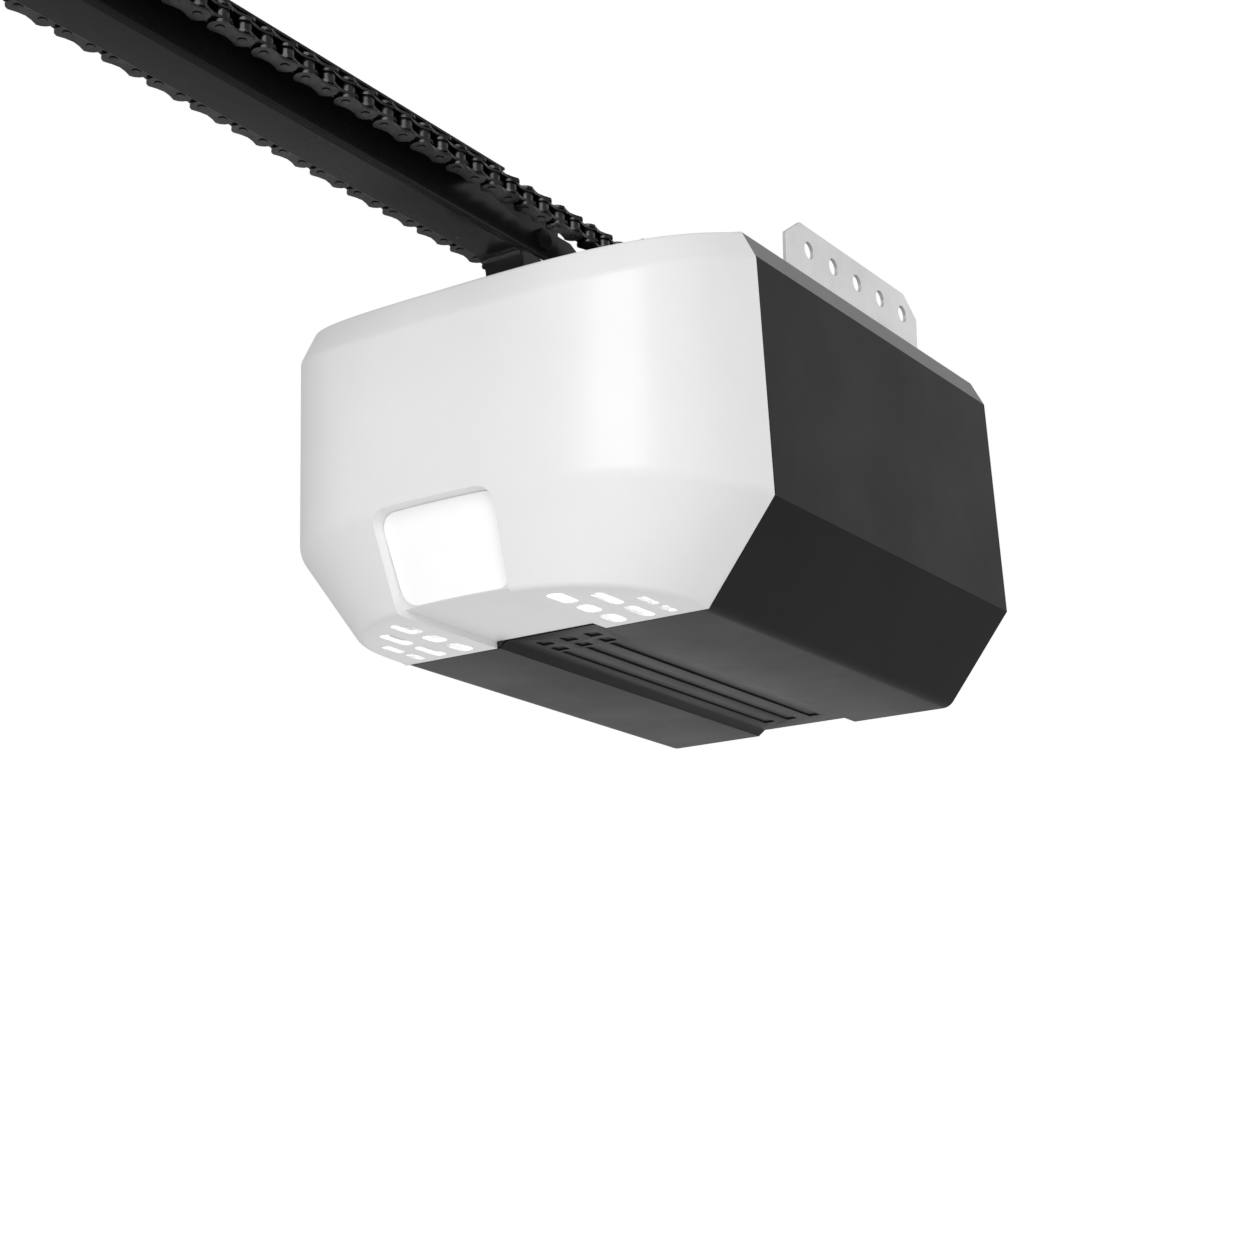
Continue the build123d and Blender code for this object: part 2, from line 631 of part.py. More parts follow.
# Sprocket: thirteen teeth between the links, on a vertical shaft
with BuildPart() as sprocket:
    with BuildSketch(Plane.XY.offset(CHAIN_HEIGHT - SPROCKET_THICKNESS / 2)):
        with Locations((0, SPROCKET_Y)):
            Circle(CHAIN_PITCH_RADIUS + SPROCKET_TIP)
            with PolarLocations(CHAIN_PITCH_RADIUS, TEETH):
                RegularPolygon(ROLLER_RADIUS + 0.35, 8, mode=Mode.SUBTRACT)
            with PolarLocations(CHAIN_PITCH_RADIUS + SPROCKET_TIP, TEETH):
                RegularPolygon(ROLLER_RADIUS + 1.6, 8, mode=Mode.SUBTRACT)
            Circle(SHAFT_RADIUS, mode=Mode.SUBTRACT)
    extrude(amount=SPROCKET_THICKNESS)
    with BuildSketch(Plane.XY.offset(DECK + BUSH_FLANGE + SEAT_GAP)):
        with Locations((0, SPROCKET_Y)):
            Circle(SPROCKET_HUB)
            Circle(SHAFT_RADIUS, mode=Mode.SUBTRACT)
    extrude(amount=CHAIN_HEIGHT - SPROCKET_THICKNESS / 2 - DECK - BUSH_FLANGE - SEAT_GAP)
save(sprocket, "sprocket", ZINC)

# Sprocket shaft, its bush in the deck, and the drive gear at its foot
with BuildPart() as sprocket_shaft:
    shaft_low = up(GEAR_HEIGHT - GEAR_THICKNESS / 2 - SHAFT_TAIL)
    with Locations((0, SPROCKET_Y, shaft_low)):
        Cylinder(SHAFT_RADIUS, SHAFT_TOP - shaft_low, align=(Align.CENTER, Align.CENTER, Align.MIN))
save(sprocket_shaft, "sprocket_shaft", ZINC)
with BuildPart() as deck_bush:
    with Locations((0, SPROCKET_Y, DECK)):
        Cylinder(BUSH_RADIUS + 5, BUSH_FLANGE, align=(Align.CENTER, Align.CENTER, Align.MIN))
    with Locations((0, SPROCKET_Y, DECK - SHEET - 3)):
        Cylinder(BUSH_RADIUS - SCREW_PLAY, SHEET + 3, align=(Align.CENTER, Align.CENTER, Align.MIN))
    with Locations((0, SPROCKET_Y, DECK)):
        Cylinder(SHAFT_RADIUS + RUNNING, 30, mode=Mode.SUBTRACT)
save(deck_bush, "deck_bush", NYLON)
with BuildPart() as drive_gear:
    with BuildSketch(Plane.XY.offset(up(GEAR_HEIGHT - GEAR_THICKNESS / 2))):
        with Locations((0, SPROCKET_Y)):
            Circle(GEAR_RADIUS)
            with PolarLocations(GEAR_RADIUS + 0.6, GEAR_TEETH):
                Rectangle(4.4, 4.4, mode=Mode.SUBTRACT)
            Circle(SHAFT_RADIUS, mode=Mode.SUBTRACT)
    extrude(amount=GEAR_THICKNESS)
save(drive_gear, "drive_gear", NYLON)

# Sprocket cover: a guard over the sprocket, open where the chain leaves to the front
with BuildPart() as sprocket_cover:
    for inset, mode in ((0.0, Mode.ADD), (COVER_WALL, Mode.SUBTRACT)):
        with BuildSketch(Plane.XY.offset(DECK)):
            with Locations((0, SPROCKET_Y)):
                Circle(COVER_RADIUS - inset)
            with Locations((0, (SPROCKET_Y + behind(COVER_FRONT)) / 2)):
                Rectangle(2 * (COVER_RADIUS - inset), SPROCKET_Y - behind(COVER_FRONT))
            with Locations((0, behind(COVER_FRONT) - COVER_RADIUS)):
                Rectangle(4 * COVER_RADIUS, 2 * COVER_RADIUS, mode=Mode.SUBTRACT)
        extrude(amount=COVER_HEIGHT - inset, mode=mode)
save(sprocket_cover, "sprocket_cover", DARK)


# Chain runs: rollers at the pitch, inner plates on every other gap and outer plates between them
def run_y(side, k):
    """Roller k of a straight run, counted from the sprocket; the left run starts after the wrap."""
    start = SPROCKET_Y if side > 0 else SPROCKET_Y - LEFT_START
    return start - k * PITCH


def plate_outline(side, k):
    """The outline of a link plate between rollers k and k + 1 of a run."""
    x = side * CHAIN_PITCH_RADIUS
    middle = (run_y(side, k) + run_y(side, k + 1)) / 2
    half, wide, nose = PITCH / 2, PLATE_HALF_WIDTH, PLATE_HALF_WIDTH * 0.4
    with BuildSketch() as outline:
        with BuildLine():
            Polyline(
                (x, middle + half + wide),
                (x + nose, middle + half + wide),
                (x + wide, middle + half + nose),
                (x + wide, middle + half - nose),
                (x + PLATE_WAIST, middle),
                (x + wide, middle - half + nose),
                (x + wide, middle - half - nose),
                (x + nose, middle - half - wide),
                (x, middle - half - wide),
            )
            mirror(about=Plane.YZ.offset(x))
        make_face()
    return outline.sketch


PLATE_LEVELS = {0: CHAIN_INNER_WIDTH / 2, 1: CHAIN_INNER_WIDTH / 2 + PLATE + PLATE_GAP}


def near_chain(side, first, last):
    """A stretch of chain with separate plates and rollers."""
    with BuildPart() as stretch:
        for parity, level in PLATE_LEVELS.items():
            with BuildSketch() as plates:
                for k in range(first, last):
                    if k % 2 == parity:
                        add(plate_outline(side, k))
            extrude(Plane.XY.offset(CHAIN_HEIGHT + level) * plates.sketch, amount=PLATE)
            extrude(Plane.XY.offset(CHAIN_HEIGHT - level) * plates.sketch, amount=-PLATE)
        with BuildSketch() as rollers:
            with Locations(*[(side * CHAIN_PITCH_RADIUS, run_y(side, k)) for k in range(first, last + 1)]):
                RegularPolygon(ROLLER_RADIUS, 6)
        roller_low = CHAIN_HEIGHT - CHAIN_INNER_WIDTH / 2 + PLATE_GAP
        extrude(Plane.XY.offset(roller_low) * rollers.sketch, amount=CHAIN_INNER_WIDTH - 2 * PLATE_GAP)
    return stretch


def far_chain(side, first, last):
    """A stretch of chain whose inner links are single blocks under plain outer plates."""
    middle = [(k, (run_y(side, k) + run_y(side, k + 1)) / 2) for k in range(first, last)]
    inner = [(side * CHAIN_PITCH_RADIUS, y) for k, y in middle if k % 2 == 0]
    outer = [(side * CHAIN_PITCH_RADIUS, y) for k, y in middle if k % 2 == 1]
    block = CHAIN_INNER_WIDTH / 2 + PLATE
    with BuildPart() as stretch:
        with Locations(*[(x, y, CHAIN_HEIGHT) for x, y in inner]):
            Box(2 * PLATE_HALF_WIDTH - 1, PITCH + 2 * ROLLER_RADIUS, 2 * block)
        for level in (block + PLATE_GAP + PLATE / 2, -block - PLATE_GAP - PLATE / 2):
            with Locations(*[(x, y, CHAIN_HEIGHT + level) for x, y in outer]):
                Box(2 * PLATE_HALF_WIDTH, PITCH + 2 * ROLLER_RADIUS, PLATE)
    return stretch


NEAR_FIRST = 5
RIGHT_NEAR_LAST = NEAR_FIRST + NEAR_LINKS_RIGHT
LEFT_NEAR_LAST = NEAR_FIRST + NEAR_LINKS_LEFT
RIGHT_LINKS = round((SPROCKET_Y - TROLLEY_Y) / PITCH)
LEFT_LINKS = round((TRAVEL - OPEN_TRAVEL + CHAIN_SPARE) / PITCH)
save(near_chain(1, NEAR_FIRST, RIGHT_NEAR_LAST), "chain_near_right", DARK)
save(near_chain(-1, NEAR_FIRST, LEFT_NEAR_LAST), "chain_near_left", DARK)
save(far_chain(1, RIGHT_NEAR_LAST, RIGHT_LINKS), "chain_far_right", DARK)
save(far_chain(-1, LEFT_NEAR_LAST, LEFT_LINKS), "chain_far_left", DARK)

# The bend of chain round the sprocket, with the few links hidden under the guard
with BuildPart() as chain_wrap:
    wrap = [2 * pi / TEETH * j for j in range(TEETH // 2 + 1)]
    route = [(CHAIN_PITCH_RADIUS, run_y(1, k)) for k in range(NEAR_FIRST, 0, -1)]
    route += [(CHAIN_PITCH_RADIUS * cos(a), SPROCKET_Y + CHAIN_PITCH_RADIUS * sin(a)) for a in wrap]
    route += [(-CHAIN_PITCH_RADIUS, run_y(-1, k)) for k in range(NEAR_FIRST + 1)]
    for n, ((xa, ya), (xb, yb)) in enumerate(zip(route, route[1:])):
        turn = degrees(atan2(yb - ya, xb - xa)) - 90
        level = PLATE_LEVELS[n % 2] + PLATE / 2
        for z in (CHAIN_HEIGHT + level, CHAIN_HEIGHT - level):
            with Locations(Location(((xa + xb) / 2, (ya + yb) / 2, z), (0, 0, turn))):
                Box(2 * PLATE_HALF_WIDTH, PITCH + 2 * ROLLER_RADIUS, PLATE)
    with BuildSketch(Plane.XY.offset(CHAIN_HEIGHT - CHAIN_INNER_WIDTH / 2 + PLATE_GAP)):
        with Locations(*route[1:-1]):
            RegularPolygon(ROLLER_RADIUS, 6)
    extrude(amount=CHAIN_INNER_WIDTH - 2 * PLATE_GAP)
save(chain_wrap, "chain_wrap", DARK)

# Drive cable: joins the two chain ends round the front pulley
RIGHT_JOIN = run_y(1, RIGHT_LINKS) - ROLLER_RADIUS
LEFT_JOIN = run_y(-1, LEFT_LINKS) - ROLLER_RADIUS
with BuildPart() as drive_cable:
    for side, join in ((1, RIGHT_JOIN), (-1, LEFT_JOIN)):
        with BuildSketch(Plane.XZ.offset(-join + FERRULE_LENGTH)):
            with Locations((side * CHAIN_PITCH_RADIUS, CHAIN_HEIGHT)):
                RegularPolygon(CABLE_DIAMETER / 2, 6)
        extrude(amount=join - FERRULE_LENGTH - IDLER_Y)
    with BuildSketch(Plane.XZ.offset(-IDLER_Y)):
        with Locations((CHAIN_PITCH_RADIUS, CHAIN_HEIGHT)):
            RegularPolygon(CABLE_DIAMETER / 2, 6)
    revolve(axis=Axis((0, IDLER_Y, 0), (0, 0, -1)), revolution_arc=180)
save(drive_cable, "drive_cable", ZINC)
with BuildPart() as cable_ends:
    for side, join in ((1, RIGHT_JOIN), (-1, LEFT_JOIN)):
        with BuildSketch(Plane.XZ.offset(-join)):
            with Locations((side * CHAIN_PITCH_RADIUS, CHAIN_HEIGHT)):
                RegularPolygon(FERRULE_RADIUS, 8)
        extrude(amount=FERRULE_LENGTH)
save(cable_ends, "cable_ends", ZINC)

# Front pulley on its axle
with BuildPart() as front_pulley:
    with BuildSketch(Plane.XZ):
        with BuildLine():
            half = PULLEY_THICKNESS / 2
            Polyline(
                (AXLE_RADIUS + RUNNING, CHAIN_HEIGHT - half),
                (PULLEY_RADIUS, CHAIN_HEIGHT - half),
                (PULLEY_RADIUS, CHAIN_HEIGHT - half + 1),
                (GROOVE_RADIUS - SEAT_GAP, CHAIN_HEIGHT - 1),
                (GROOVE_RADIUS - SEAT_GAP, CHAIN_HEIGHT + 1),
                (PULLEY_RADIUS, CHAIN_HEIGHT + half - 1),
                (PULLEY_RADIUS, CHAIN_HEIGHT + half),
                (AXLE_RADIUS + RUNNING, CHAIN_HEIGHT + half),
                close=True,
            )
        make_face()
    revolve(axis=Axis.Z)
front_pulley.part.position = (0, IDLER_Y, 0)
save(front_pulley, "front_pulley", NYLON)

# Idler bracket: a strap folded round the pulley and bolted to the rail's end, with a tongue for the header
with BuildPart() as idler_bracket:
    strap_rear = RAIL_END + IDLER_LAP
    with BuildSketch(Plane.YZ.offset(-IDLER_WIDTH / 2)):
        with BuildLine():
            Polyline(
                (strap_rear, RAIL_BOTTOM),
                (IDLER_FRONT, RAIL_BOTTOM),
                (IDLER_FRONT, RAIL_TOP),
                (strap_rear, RAIL_TOP),
                (strap_rear, RAIL_TOP + IDLER_SHEET),
                (IDLER_FRONT - IDLER_SHEET, RAIL_TOP + IDLER_SHEET),
                (IDLER_FRONT - IDLER_SHEET, RAIL_BOTTOM - IDLER_SHEET),
                (strap_rear, RAIL_BOTTOM - IDLER_SHEET),
                close=True,
            )
        make_face()
    extrude(amount=IDLER_WIDTH)
    with BuildSketch(Plane.YZ.offset(-TONGUE_WIDTH / 2)):
        with Locations((HEADER_PIN_Y, HEADER_PIN_Z)):
            Circle(TONGUE_RADIUS)
        with Locations(((HEADER_PIN_Y + IDLER_FRONT) / 2, HEADER_PIN_Z)):
            Rectangle(IDLER_FRONT - HEADER_PIN_Y, 2 * TONGUE_RADIUS)
    extrude(amount=TONGUE_WIDTH)
    with Locations(Location((0, HEADER_PIN_Y, HEADER_PIN_Z), (0, 90, 0))):
        Cylinder(ARM_PIN_RADIUS + RUNNING, 2 * TONGUE_WIDTH, mode=Mode.SUBTRACT)
    with Locations((0, IDLER_Y, 0)):
        Cylinder(AXLE_RADIUS, 4 * RAIL_WIDTH, mode=Mode.SUBTRACT)
    with Locations(*[(0, y, RAIL_BOTTOM) for y in IDLER_BOLTS]):
        Cylinder(SCREW_RADIUS + SCREW_PLAY, 4 * IDLER_SHEET, mode=Mode.SUBTRACT)
save(idler_bracket, "idler_bracket", ZINC)
with BuildPart() as idler_bolts:
    for y in IDLER_BOLTS:
        with BuildSketch(Plane.XY.offset(RAIL_BOTTOM - IDLER_SHEET)):
            with Locations((0, y)):
                RegularPolygon(SCREW_HEAD, 6)
        extrude(amount=-SCREW_HEAD_HEIGHT)
        with BuildSketch(Plane.XY.offset(RAIL_BOTTOM - IDLER_SHEET)):
            with Locations((0, y)):
                RegularPolygon(SCREW_RADIUS, 12)
        extrude(amount=9)
save(idler_bolts, "idler_bolts", ZINC)
with BuildPart() as pulley_axle:
    with Locations((0, IDLER_Y, RAIL_BOTTOM - IDLER_SHEET)):
        Cylinder(PIN_HEAD + 2, PIN_HEAD_HEIGHT, align=(Align.CENTER, Align.CENTER, Align.MAX))
        axle_length = RAIL_TOP - RAIL_BOTTOM + 2 * IDLER_SHEET + 2
        Cylinder(AXLE_RADIUS, axle_length, align=(Align.CENTER, Align.CENTER, Align.MIN))
save(pulley_axle, "pulley_axle", ZINC)
with BuildPart() as pulley_spacers:
    for low, high in (
        (RAIL_BOTTOM, CHAIN_HEIGHT - PULLEY_THICKNESS / 2 - SEAT_GAP),
        (CHAIN_HEIGHT + PULLEY_THICKNESS / 2 + SEAT_GAP, RAIL_TOP),
    ):
        with BuildSketch(Plane.XY.offset(low)):
            with Locations((0, IDLER_Y)):
                Circle(AXLE_RADIUS + 3)
                Circle(AXLE_RADIUS, mode=Mode.SUBTRACT)
        extrude(amount=high - low)
save(pulley_spacers, "pulley_spacers", ZINC)

# Header bracket: fixed to the wall above the door, it holds the front of the rail on a pin
with BuildPart() as header_bracket:
    plate_y = HEADER_PIN_Y - HEADER_REACH
    with Locations((0, plate_y, HEADER_PIN_Z)):
        Box(HEADER_WIDTH, HEADER_PLATE, HEADER_HEIGHT, align=(Align.CENTER, Align.MAX, Align.CENTER))
    for side in (1, -1):
        ear_x = side * (TONGUE_WIDTH / 2 + CHAIN_GAP + HEADER_PLATE / 2)
        with BuildSketch(Plane.YZ.offset(ear_x - HEADER_PLATE / 2)):
            with Locations((HEADER_PIN_Y, HEADER_PIN_Z)):
                Circle(TONGUE_RADIUS)
            with Locations(((plate_y + HEADER_PIN_Y) / 2, HEADER_PIN_Z)):
                Rectangle(HEADER_REACH, 2 * TONGUE_RADIUS)
        extrude(amount=HEADER_PLATE)
    with Locations(Location((0, HEADER_PIN_Y, HEADER_PIN_Z), (0, 90, 0))):
        Cylinder(ARM_PIN_RADIUS, 2 * HEADER_WIDTH, mode=Mode.SUBTRACT)
    with Locations(Location((0, plate_y, HEADER_PIN_Z), (90, 0, 0))):
        with GridLocations(1, HEADER_HOLE_SPACING, 1, 2):
            Cylinder(HEADER_HOLE_RADIUS, 4 * HEADER_PLATE, mode=Mode.SUBTRACT)
save(header_bracket, "header_bracket", ZINC)


def clevis_pin(y, z, half_length):
    """A headed pin across the part, with its far end standing out for the retaining clip."""
    with BuildPart() as pin:
        with Locations(Location((-half_length, y, z), (0, 90, 0))):
            Cylinder(ARM_PIN_RADIUS, 2 * half_length + 4, align=(Align.CENTER, Align.CENTER, Align.MIN))
            Cylinder(PIN_HEAD, PIN_HEAD_HEIGHT, align=(Align.CENTER, Align.CENTER, Align.MAX))
    return pin


header_half = TONGUE_WIDTH / 2 + CHAIN_GAP + HEADER_PLATE
save(clevis_pin(HEADER_PIN_Y, HEADER_PIN_Z, header_half), "header_pin", ZINC)

# Trolley: a steel shell wrapped round the rail, with nylon slides above and below
with BuildPart() as trolley_shell:
    shell_plane = Plane.XZ.offset(-(TROLLEY_Y + TROLLEY_LENGTH / 2))
    height = TROLLEY_TOP - TROLLEY_BOTTOM
    with BuildSketch(shell_plane):
        with Locations((0, TROLLEY_BOTTOM + height / 2)):
            RectangleRounded(TROLLEY_WIDTH, height, TROLLEY_SHEET + 1)
            Rectangle(TROLLEY_WIDTH - 2 * TROLLEY_SHEET, height - 2 * TROLLEY_SHEET, mode=Mode.SUBTRACT)
    extrude(amount=TROLLEY_LENGTH)
    for side in (1, -1):
        ear_x = side * (EAR_GAP / 2 + EAR_SHEET / 2)
        with BuildSketch(Plane.YZ.offset(ear_x - EAR_SHEET / 2)):
            with BuildLine():
                Polyline(
                    (ARM_Y - 28, TROLLEY_BOTTOM),
                    (ARM_Y - 12, ARM_PIN_Z - 10),
                    (ARM_Y + 12, ARM_PIN_Z - 10),
                    (ARM_Y + 28, TROLLEY_BOTTOM),
                    close=True,
                )
            make_face()
            with BuildLine():
                Polyline(
                    (LEVER_Y - 12, TROLLEY_BOTTOM),
                    (LEVER_Y - 7, LEVER_Z - 7),
                    (LEVER_Y + 7, LEVER_Z - 7),
                    (LEVER_Y + 12, TROLLEY_BOTTOM),
                    close=True,
                )
            make_face()
        extrude(amount=EAR_SHEET)
    with Locations(Location((0, ARM_Y, ARM_PIN_Z), (0, 90, 0))):
        Cylinder(ARM_PIN_RADIUS, TROLLEY_WIDTH, mode=Mode.SUBTRACT)
    with Locations(Location((0, LEVER_Y, LEVER_Z), (0, 90, 0))):
        Cylinder(LEVER_PIN, TROLLEY_WIDTH, mode=Mode.SUBTRACT)
save(trolley_shell, "trolley_shell", ZINC)
with BuildPart() as trolley_slides:
    slide_length = TROLLEY_LENGTH - 6
    top_low, top_high = RAIL_TOP + SLIDE_GAP, TROLLEY_TOP - TROLLEY_SHEET
    web_low, web_high = TROLLEY_BOTTOM + TROLLEY_SHEET, RAIL_BOTTOM - SLIDE_GAP
    with Locations((0, TROLLEY_Y, (top_low + top_high) / 2)):
        Box(RAIL_FLANGE_WIDTH, slide_length, top_high - top_low)
    with Locations((0, TROLLEY_Y, (web_low + web_high) / 2)):
        Box(RAIL_WIDTH - 4, slide_length, web_high - web_low)
save(trolley_slides, "trolley_slides", NYLON)

# Chain clip: a trough under the right run of chain, riveted to the shell's cheek
with BuildPart() as chain_clip:
    cheek = TROLLEY_WIDTH / 2 - TROLLEY_SHEET
    lip_x = (RAIL_WIDTH / 2 + CHAIN_PITCH_RADIUS - PLATE_HALF_WIDTH) / 2
    chain_low = CHAIN_HEIGHT - CHAIN_INNER_WIDTH / 2 - 2 * (PLATE + PLATE_GAP)
    with BuildSketch(Plane.XZ.offset(-(TROLLEY_Y + CLIP_LENGTH / 2))):
        with BuildLine():
            Polyline(
                (cheek, chain_low - CHAIN_GAP),
                (lip_x + CLIP_SHEET / 2, chain_low - CHAIN_GAP),
                (lip_x + CLIP_SHEET / 2, CHAIN_HEIGHT),
                (lip_x - CLIP_SHEET / 2, CHAIN_HEIGHT),
                (lip_x - CLIP_SHEET / 2, chain_low - CHAIN_GAP - 2 * CLIP_SHEET),
                (cheek, chain_low - CHAIN_GAP - 2 * CLIP_SHEET),
                close=True,
            )
        make_face()
    extrude(amount=CLIP_LENGTH)
save(chain_clip, "chain_clip", ZINC)

# Release lever on its pin, with the hole that takes a pull handle
with BuildPart() as release_lever:
    with BuildSketch(Plane.YZ.offset(-LEVER_THICKNESS / 2)):
        with Locations((LEVER_Y, LEVER_Z)):
            Circle(6.0)
        with Locations((LEVER_Y + 22, LEVER_Z - 12)):
            SlotCenterToCenter(46, 12, rotation=-28)
        with Locations((LEVER_Y + 36, LEVER_Z - 19.5)):
            Circle(2.5, mode=Mode.SUBTRACT)
        with Locations((LEVER_Y, LEVER_Z)):
            Circle(LEVER_PIN + RUNNING, mode=Mode.SUBTRACT)
    extrude(amount=LEVER_THICKNESS)
save(release_lever, "release_lever", (0.75, 0.1, 0.08))
with BuildPart() as lever_pin:
    with Locations(Location((0, LEVER_Y, LEVER_Z), (0, 90, 0))):
        Cylinder(LEVER_PIN, EAR_GAP + 2 * EAR_SHEET + 3)
save(lever_pin, "lever_pin", ZINC)
save(clevis_pin(ARM_Y, ARM_PIN_Z, EAR_GAP / 2 + EAR_SHEET), "arm_pin", ZINC)


def arm_plane(x):
    """The plane of one face of an arm bar whose middle lies at x."""
    return Plane.YZ.offset(x - ARM_THICKNESS / 2)


# Door arm: a straight bar from the trolley, bolted to a curved bar that reaches the door
with BuildPart() as straight_arm:
    with BuildSketch(arm_plane(0)):
        with Locations((ARM_Y, (ARM_PIN_Z + ELBOW_Z) / 2)):
            SlotCenterToCenter(STRAIGHT_ARM, ARM_WIDTH, rotation=90)
        with Locations((ARM_Y, ARM_PIN_Z)):
            Circle(ARM_PIN_RADIUS + RUNNING, mode=Mode.SUBTRACT)
        for n in range(ARM_HOLES):
            with Locations((ARM_Y, ELBOW_Z + n * ARM_HOLE_PITCH)):
                RegularPolygon(ARM_HOLE_RADIUS, 12, mode=Mode.SUBTRACT)
    extrude(amount=ARM_THICKNESS)
    with BuildSketch(arm_plane(0)):
        with Locations((ARM_Y, ARM_PIN_Z)):
            Circle(ARM_WIDTH / 2 - 4)
            Circle(ARM_PIN_RADIUS + RUNNING, mode=Mode.SUBTRACT)
    extrude(amount=EAR_GAP / 2 + ARM_THICKNESS / 2 - SEAT_GAP)
    with BuildSketch(arm_plane(0)):
        with Locations((ARM_Y, ARM_PIN_Z)):
            Circle(ARM_WIDTH / 2 - 4)
            Circle(ARM_PIN_RADIUS + RUNNING, mode=Mode.SUBTRACT)
    extrude(amount=-(EAR_GAP / 2 - ARM_THICKNESS / 2 - SEAT_GAP))
save(straight_arm, "straight_arm", ZINC)
with BuildPart() as curved_arm:
    with BuildSketch(arm_plane(ARM_THICKNESS)):
        lap_top = ELBOW_Z + ARM_LAP
        bend_z = DOOR_PIN_Z + ARM_BEND
        with BuildLine():
            Line((ARM_Y, lap_top), (ARM_Y, bend_z))
            TangentArc((ARM_Y, bend_z), (ARM_Y - ARM_SWEEP, DOOR_PIN_Z), tangent=(0, -1))
        trace(line_width=ARM_WIDTH - 4)
        with Locations((ARM_Y, lap_top), (ARM_Y - ARM_SWEEP, DOOR_PIN_Z)):
            Circle(ARM_WIDTH / 2 - 2)
        with Locations((ARM_Y - ARM_SWEEP, DOOR_PIN_Z)):
            Circle(ARM_PIN_RADIUS + RUNNING, mode=Mode.SUBTRACT)
        for n in range(ARM_HOLES):
            with Locations((ARM_Y, ELBOW_Z + n * ARM_HOLE_PITCH)):
                RegularPolygon(ARM_HOLE_RADIUS, 12, mode=Mode.SUBTRACT)
    extrude(amount=ARM_THICKNESS)
save(curved_arm, "curved_arm", ZINC)
with BuildPart() as arm_bolts:
    for n in (0, ARM_HOLES - 1):
        place = (ARM_Y, ELBOW_Z + n * ARM_HOLE_PITCH)
        for start, radius, sides, reach in (
            (ARM_THICKNESS * 1.5, SCREW_HEAD + 1, 6, SCREW_HEAD_HEIGHT),
            (-ARM_THICKNESS / 2, SCREW_HEAD + 1, 6, -SCREW_HEAD_HEIGHT),
            (-ARM_THICKNESS / 2, ARM_HOLE_RADIUS - 0.4, 12, 2 * ARM_THICKNESS),
        ):
            with BuildSketch(Plane.YZ.offset(start)):
                with Locations(place):
                    RegularPolygon(radius, sides)
            extrude(amount=reach)
save(arm_bolts, "arm_bolts", ZINC)

# Door bracket: a plate for the door's top rail with two ears round the arm's end
with BuildPart() as door_bracket:
    door_y = ARM_Y - ARM_SWEEP
    ear_low = ARM_THICKNESS / 2 - CHAIN_GAP - EAR_SHEET
    ear_high = ARM_THICKNESS * 1.5 + CHAIN_GAP
    for ear_x in (ear_low, ear_high):
        with BuildSketch(Plane.YZ.offset(ear_x)):
            with Locations((door_y, DOOR_PIN_Z)):
                Circle(ARM_WIDTH / 2 - 4)
            with Locations((door_y, DOOR_PIN_Z - DOOR_DROP / 2)):
                Rectangle(ARM_WIDTH - 8, DOOR_DROP)
        extrude(amount=EAR_SHEET)
    with Locations((ARM_THICKNESS, door_y, DOOR_PIN_Z - DOOR_DROP)):
        Box(DOOR_WIDTH, DOOR_PLATE, EAR_SHEET, align=(Align.CENTER, Align.CENTER, Align.MAX))
    with Locations((ARM_THICKNESS, door_y, DOOR_PIN_Z - DOOR_DROP)):
        with GridLocations(1, DOOR_HOLE_SPACING, 1, 2):
            Cylinder(HEADER_HOLE_RADIUS, 4 * EAR_SHEET, mode=Mode.SUBTRACT)
    with Locations(Location((0, door_y, DOOR_PIN_Z), (0, 90, 0))):
        Cylinder(ARM_PIN_RADIUS, 4 * ARM_WIDTH, mode=Mode.SUBTRACT)
save(door_bracket, "door_bracket", ZINC)
with BuildPart() as door_pin:
    with Locations(Location((ear_low, door_y, DOOR_PIN_Z), (0, 90, 0))):
        pin_length = ear_high + EAR_SHEET - ear_low + 4
        Cylinder(ARM_PIN_RADIUS, pin_length, align=(Align.CENTER, Align.CENTER, Align.MIN))
        Cylinder(PIN_HEAD, PIN_HEAD_HEIGHT, align=(Align.CENTER, Align.CENTER, Align.MAX))
save(door_pin, "door_pin", ZINC)

# Motor: a can on a bracket under the deck, its worm beside the drive gear
with BuildPart() as motor_can:
    with BuildSketch(Plane.XZ.offset(-MOTOR_FRONT)):
        with Locations((MOTOR_X, up(GEAR_HEIGHT))):
            RegularPolygon(MOTOR_RADIUS, 16)
            Circle(ROTOR_RADIUS + SEAT_GAP, mode=Mode.SUBTRACT)
    extrude(amount=-MOTOR_LENGTH)
save(motor_can, "motor_can", DARK)
with BuildPart() as motor_ends:
    for start, reach in ((MOTOR_FRONT, END_BELL), (MOTOR_FRONT + MOTOR_LENGTH + END_BELL, END_BELL)):
        with BuildSketch(Plane.XZ.offset(-start)):
            with Locations((MOTOR_X, up(GEAR_HEIGHT))):
                RegularPolygon(MOTOR_RADIUS, 16)
                Circle(MOTOR_SHAFT + RUNNING, mode=Mode.SUBTRACT)
        extrude(amount=reach)
save(motor_ends, "motor_ends", ZINC)
